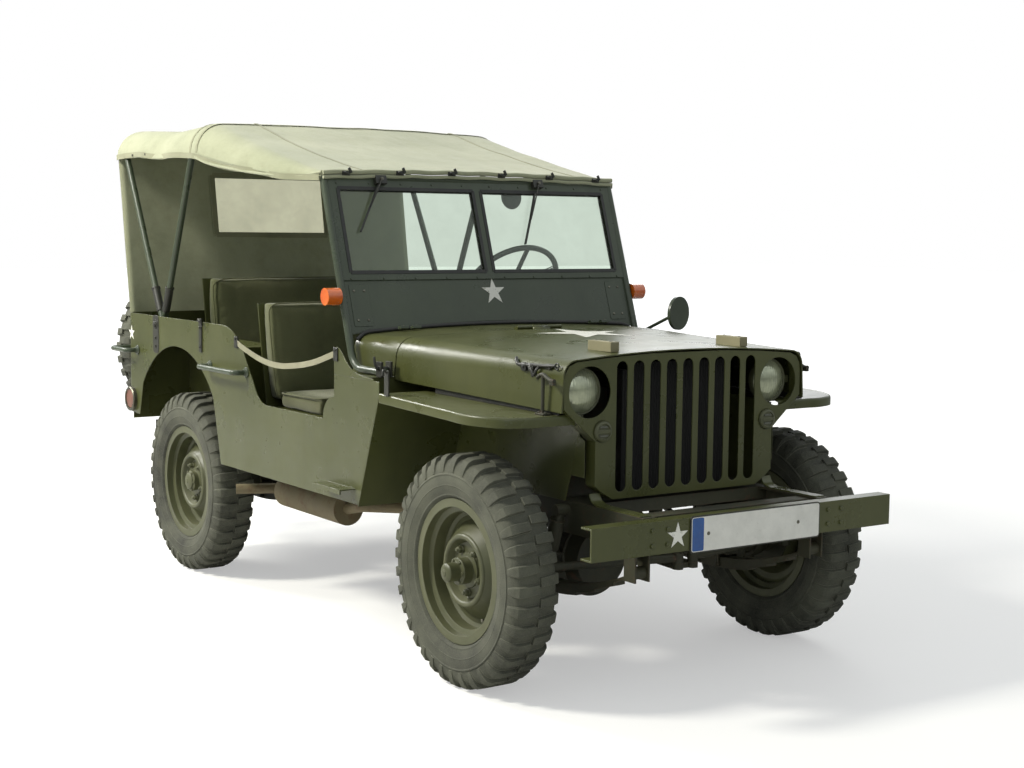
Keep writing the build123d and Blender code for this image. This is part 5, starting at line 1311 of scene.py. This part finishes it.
# Hood seals on the fenders' tops, just inside the hood's lower edges, and nose shields below them
seals = Shape()
shields = Shape()
for side in (-1, 1):
    rows = []
    for k in range(21):
        t = k / 20
        station = -0.236 + 0.576 * t
        x = side * (0.490 + 0.095 * (station + 0.262) / 0.804 - 0.0105)
        low = 0.848 + 0.020 * (station + 0.238) / 0.643 + 0.0004
        top = 0.858 + 0.036 * (station + 0.262) / 0.804 + 0.006
        section = ((-0.0025, low), (0.0025, low), (0.0025, top), (-0.0025, top))
        rows.append([at(x + dx, station, z) for dx, z in section])
    seals.grid(rows, 0, wrap_cols=True, caps=True)
    shield = [(-0.2275, 0.8440), (-0.1460, 0.6550), (-0.2360, 0.6550), (-0.2360, 0.7680), (-0.2105, 0.7780),
              (-0.2105, 0.8440)]
    face = [(aft(station), height) for station, height in shield]
    plate(shields, face, Vector((side * 0.3822 - 0.0010, 0, 0)), Y, Z, 0.0020)
piece("nose_shields", shields, [olive], "body")
piece("hood_seals", seals, [seal_rubber], "body", bevel=0.0008)

# Fender beads: the rolled lip round each fender's front corner
LIP = [(0.402, -0.238), (0.470, -0.238), (0.540, -0.238), (0.594, -0.238), (0.6746, -0.2029),
       (0.724, -0.108), (0.724, 0.000), (0.724, 0.140), (0.724, 0.270), (0.724, 0.403)]
# The bead's section: distance outwards, height
BEAD = [(-0.0150, 0.0003), (-0.0100, 0.0011), (-0.0050, 0.0012), (-0.0015, 0.0004), (0.0010, -0.0022),
        (0.0020, -0.0060), (0.0020, -0.0300), (-0.0010, -0.0300), (-0.0010, -0.0050), (-0.0150, -0.0015)]
beads = Shape()
for side in (-1, 1):
    line = smooth([(x, station, 0) for x, station in LIP], 6)
    rows = []
    for i, point in enumerate(line):
        ahead = line[min(i + 1, len(line) - 1)] - line[max(i - 1, 0)]
        out = Vector((-ahead.y, ahead.x, 0)).normalized() * -1
        height = 0.868 + (point.y - 0.405) * 0.0311
        row = []
        for reach, lift in BEAD:
            spot = point + out * reach
            row.append(at(side * spot.x, spot.y, height + lift))
        rows.append(row)
    beads.grid(rows, 0, wrap_cols=True, caps=True)
piece("fender_beads", beads, [olive], "body", angle=50)

# Handle feet: round flanges with two bolts where the grab handles meet the tub
feet = Shape()
for side in (-1, 1):
    for station, height in ((1.384, 0.856), (1.706, 0.856), (2.440, 0.866)):
        foot = at(side * 0.7243, station, height)
        out = X * side
        flange = [(0.0104, 0), (0.0210, 0), (0.0205, 0.0035), (0.0150, 0.0060), (0.0125, 0.0120),
                  (0.0104, 0.0125)]
        lathe(feet, foot, out, flange, 28, closed=True)
        for dz in (-0.0168, 0.0168):
            bolt(feet, foot + Z * dz + out * 0.0028, out, 0.0034, 0.003)
# The handle feet take the cooler, darker olive copy, which is painted shade.
piece("handle_feet", feet, [olive_painted_shade], "body", angle=40)

# Bow brackets: plates, pivot bolts and the sockets on the tub's side
brackets = Shape()
for side in (-1, 1):
    centre = at(side * 0.7225, 2.240, 0.985)
    plate(brackets, rounded(0.060, 0.155, 0.020), centre - Z * 0.040, Y * side, Z, 0.0035)
    out = X * side
    bolt(brackets, centre + out * 0.0035, out, 0.013, 0.010)
    lathe(brackets, centre + out * 0.003, out, [(0, 0), (0.020, 0), (0.020, 0.003), (0, 0.003)], 24)
    for dz in (-0.055, -0.090):
        bolt(brackets, centre + out * 0.0035 + Z * dz, out, 0.0062, 0.005)
    pivot = at(side * 0.690, 2.240, 0.985)
    for station in (FRONT_BOW, REAR_BOW):
        direction = (at(side * 0.690, station, 1.772) - pivot).normalized()
        start = pivot + direction * 0.060
        tube(brackets, [start, start + direction * 0.105], 0.0165, 20)
        tube(brackets, [start + direction * 0.100, start + direction * 0.108], 0.0185, 20)
piece("bow_brackets", brackets, [black], "body", bevel=0.001)

# Rims of the side reflectors
rims = Shape()
for side in (-1, 1):
    middle = at(side * 0.7385, 2.500, 0.655)
    rim = [(0.040, -0.014), (0.0505, -0.014), (0.0515, 0.000), (0.0480, 0.0035), (0.0415, 0.0022),
           (0.0405, -0.002)]
    lathe(rims, middle, X * side, rim, 48, closed=True)
    for k in range(3):
        a = math.radians(90 + 120 * k)
        spot = middle + Vector((side * 0.0025, math.cos(a) * 0.0455, math.sin(a) * 0.0455))
        bolt(rims, spot, X * side, 0.003, 0.002, 1)
piece("reflector_rims", rims, [dull_metal, black], "body", bevel=0.0006)

# Front end: bumper bolts and the curved ends of the frame's rails
front = Shape()
for side in (-1, 1):
    for dx in (-0.028, 0.028):
        for dz in (-0.022, 0.022):
            bolt(front, at(side * RAIL_X + dx, BUMPER_FACE + 0.0006, 0.522 + dz), -Y, 0.0078, 0.006)
    horn = [(-0.243, 0.606), (-0.247, 0.596), (-0.257, 0.584), (-0.276, 0.5765), (-0.310, 0.5735),
            (-0.490, 0.5735)]
    strip(front, smooth([at(side * RAIL_X, station, z) for station, z in horn], 5), X, 0.040, 0.005)
piece("front_fittings", front, [olive], "body", bevel=0.0008)

# Underbody: the springs' clamps
under = Shape()
for side in (-1, 1):
    for station in (0.0, WHEELBASE):
        for dy in (-0.052, 0.052):
            foot = at(side * 0.350, station + dy, 0.286)
            start, end = foot - X * 0.028, foot + X * 0.028
            left, right = start + Z * 0.100, end + Z * 0.100
            loop = [start, left - Z * 0.02, left + X * 0.008, right - X * 0.008, right - Z * 0.02, end]
            tube(under, smooth(loop, 4), 0.0055, 8)
            for dx in (-0.028, 0.028):
                bolt(under, foot + X * dx, -Z, 0.009, 0.010)
piece("spring_clamps", under, [chassis], "body", bevel=0.0006)

# Steering wheel's wire spokes and hub cap
wheel_shape = Shape()
hub_centre = at(0.305, 1.180, 1.160)
column_axis = Vector((0, 0.788011, 0.615661))
up_axis = column_axis.cross(X)
for k in range(3):
    a = math.radians(90 + 120 * k)
    way = X * math.cos(a) + up_axis * math.sin(a)
    for offset in (-0.010, 0.0, 0.010):
        side_way = column_axis.cross(way) * offset
        start = hub_centre + way * 0.028 + side_way * 0.4 + column_axis * 0.012
        end = hub_centre + way * 0.198 + side_way + column_axis * 0.006
        tube(wheel_shape, [start, end], 0.0022, 8)
hub_cap = [(0, 0.006), (0.030, 0.006), (0.032, 0.012), (0.026, 0.020), (0.012, 0.024), (0, 0.0245)]
lathe(wheel_shape, hub_centre, column_axis, hub_cap, 36)
piece("wheel_spokes", wheel_shape, [black_plastic], "steering_wheel")

# Stage: pale floor, pale world and soft lights
floor_mesh = bpy.data.meshes.new("studio_floor")
floor_mesh.from_pydata([(-40, -40, 0), (40, -40, 0), (40, 40, 0), (-40, 40, 0)], [], [(0, 1, 2, 3)])
studio_floor = link("studio_floor", floor_mesh)
ground = Finish("studio_ground")
ground.set(color=(0.62, 0.62, 0.60, 1), rough=0.9, specular=0.1)
reach = ground.node("VectorMath", ground.place, operation="LENGTH").outputs["Value"]
glow = ground.node("Emission", (1.0, 1.0, 1.0, 1), ground.span(reach, 3.5, 12.0, 0.42, 0.95))
whole = ground.node("AddShader", ground.shader.outputs[0], glow.outputs[0])
seen = ground.node("LightPath").outputs["Is Camera Ray"]
either = ground.node("MixShader", seen, ground.shader.outputs[0], whole.outputs[0])
ground.tree.links.new(either.outputs[0], ground.tree.nodes["Material Output"].inputs["Surface"])
floor_mesh.materials.append(ground.material)
studio_floor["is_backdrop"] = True

world = bpy.data.worlds.new("studio_world")
bpy.context.scene.world = world
sky = Nodes(world)
sky.tree.nodes.clear()
rays = sky.node("LightPath").outputs
seen = sky.node("Math", rays["Is Camera Ray"], rays["Is Transmission Ray"], operation="MAXIMUM")
height = sky.node("SeparateXYZ", sky.node("TexCoord").outputs["Generated"]).outputs["Z"]
gradient = sky.node("MapRange", height, -0.05, 0.35, 0.12, 1.0)
light_part = sky.node("Background", (0.93, 0.97, 1.0, 1), 0.50)
mirror_part = sky.node("Background", (0.93, 0.98, 1.0, 1), gradient.outputs[0])
seen_part = sky.node("Background", (1.0, 1.0, 1.0, 1), 1.0)
lit = sky.node("MixShader", rays["Is Glossy Ray"], light_part.outputs[0], mirror_part.outputs[0])
either = sky.node("MixShader", seen.outputs[0], lit.outputs[0], seen_part.outputs[0])
sky.tree.links.new(either.outputs[0], sky.node("OutputWorld").inputs[0])


def area_light(name, place, target, size, power, color):
    data = bpy.data.lights.new(name, "AREA")
    data.shape = "DISK"
    data.size = size
    data.energy = power
    data.color = color
    lamp = link(name, data)
    aim = (Vector(target) - Vector(place)).to_track_quat("-Z", "Y")
    lamp.matrix_world = Matrix.Translation(place) @ aim.to_matrix().to_4x4()


area_light("key", (-5.8, 1.8, 5.8), (0, -0.2, 0.7), 1.6, 640, (1.0, 0.97, 0.88))
area_light("back", (-2.9, 5.8, 4.7), (-0.4, -0.8, 0.9), 2.2, 360, (1.0, 0.99, 0.95))
area_light("fill", (-2.6, -6.6, 3.4), (0, -0.6, 0.7), 3.2, 25, (0.95, 0.98, 1.0))
area_light("rim", (4.6, 3.4, 3.6), (0, 0, 0.9), 3.0, 70, (1.0, 1.0, 1.0))

low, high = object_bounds()
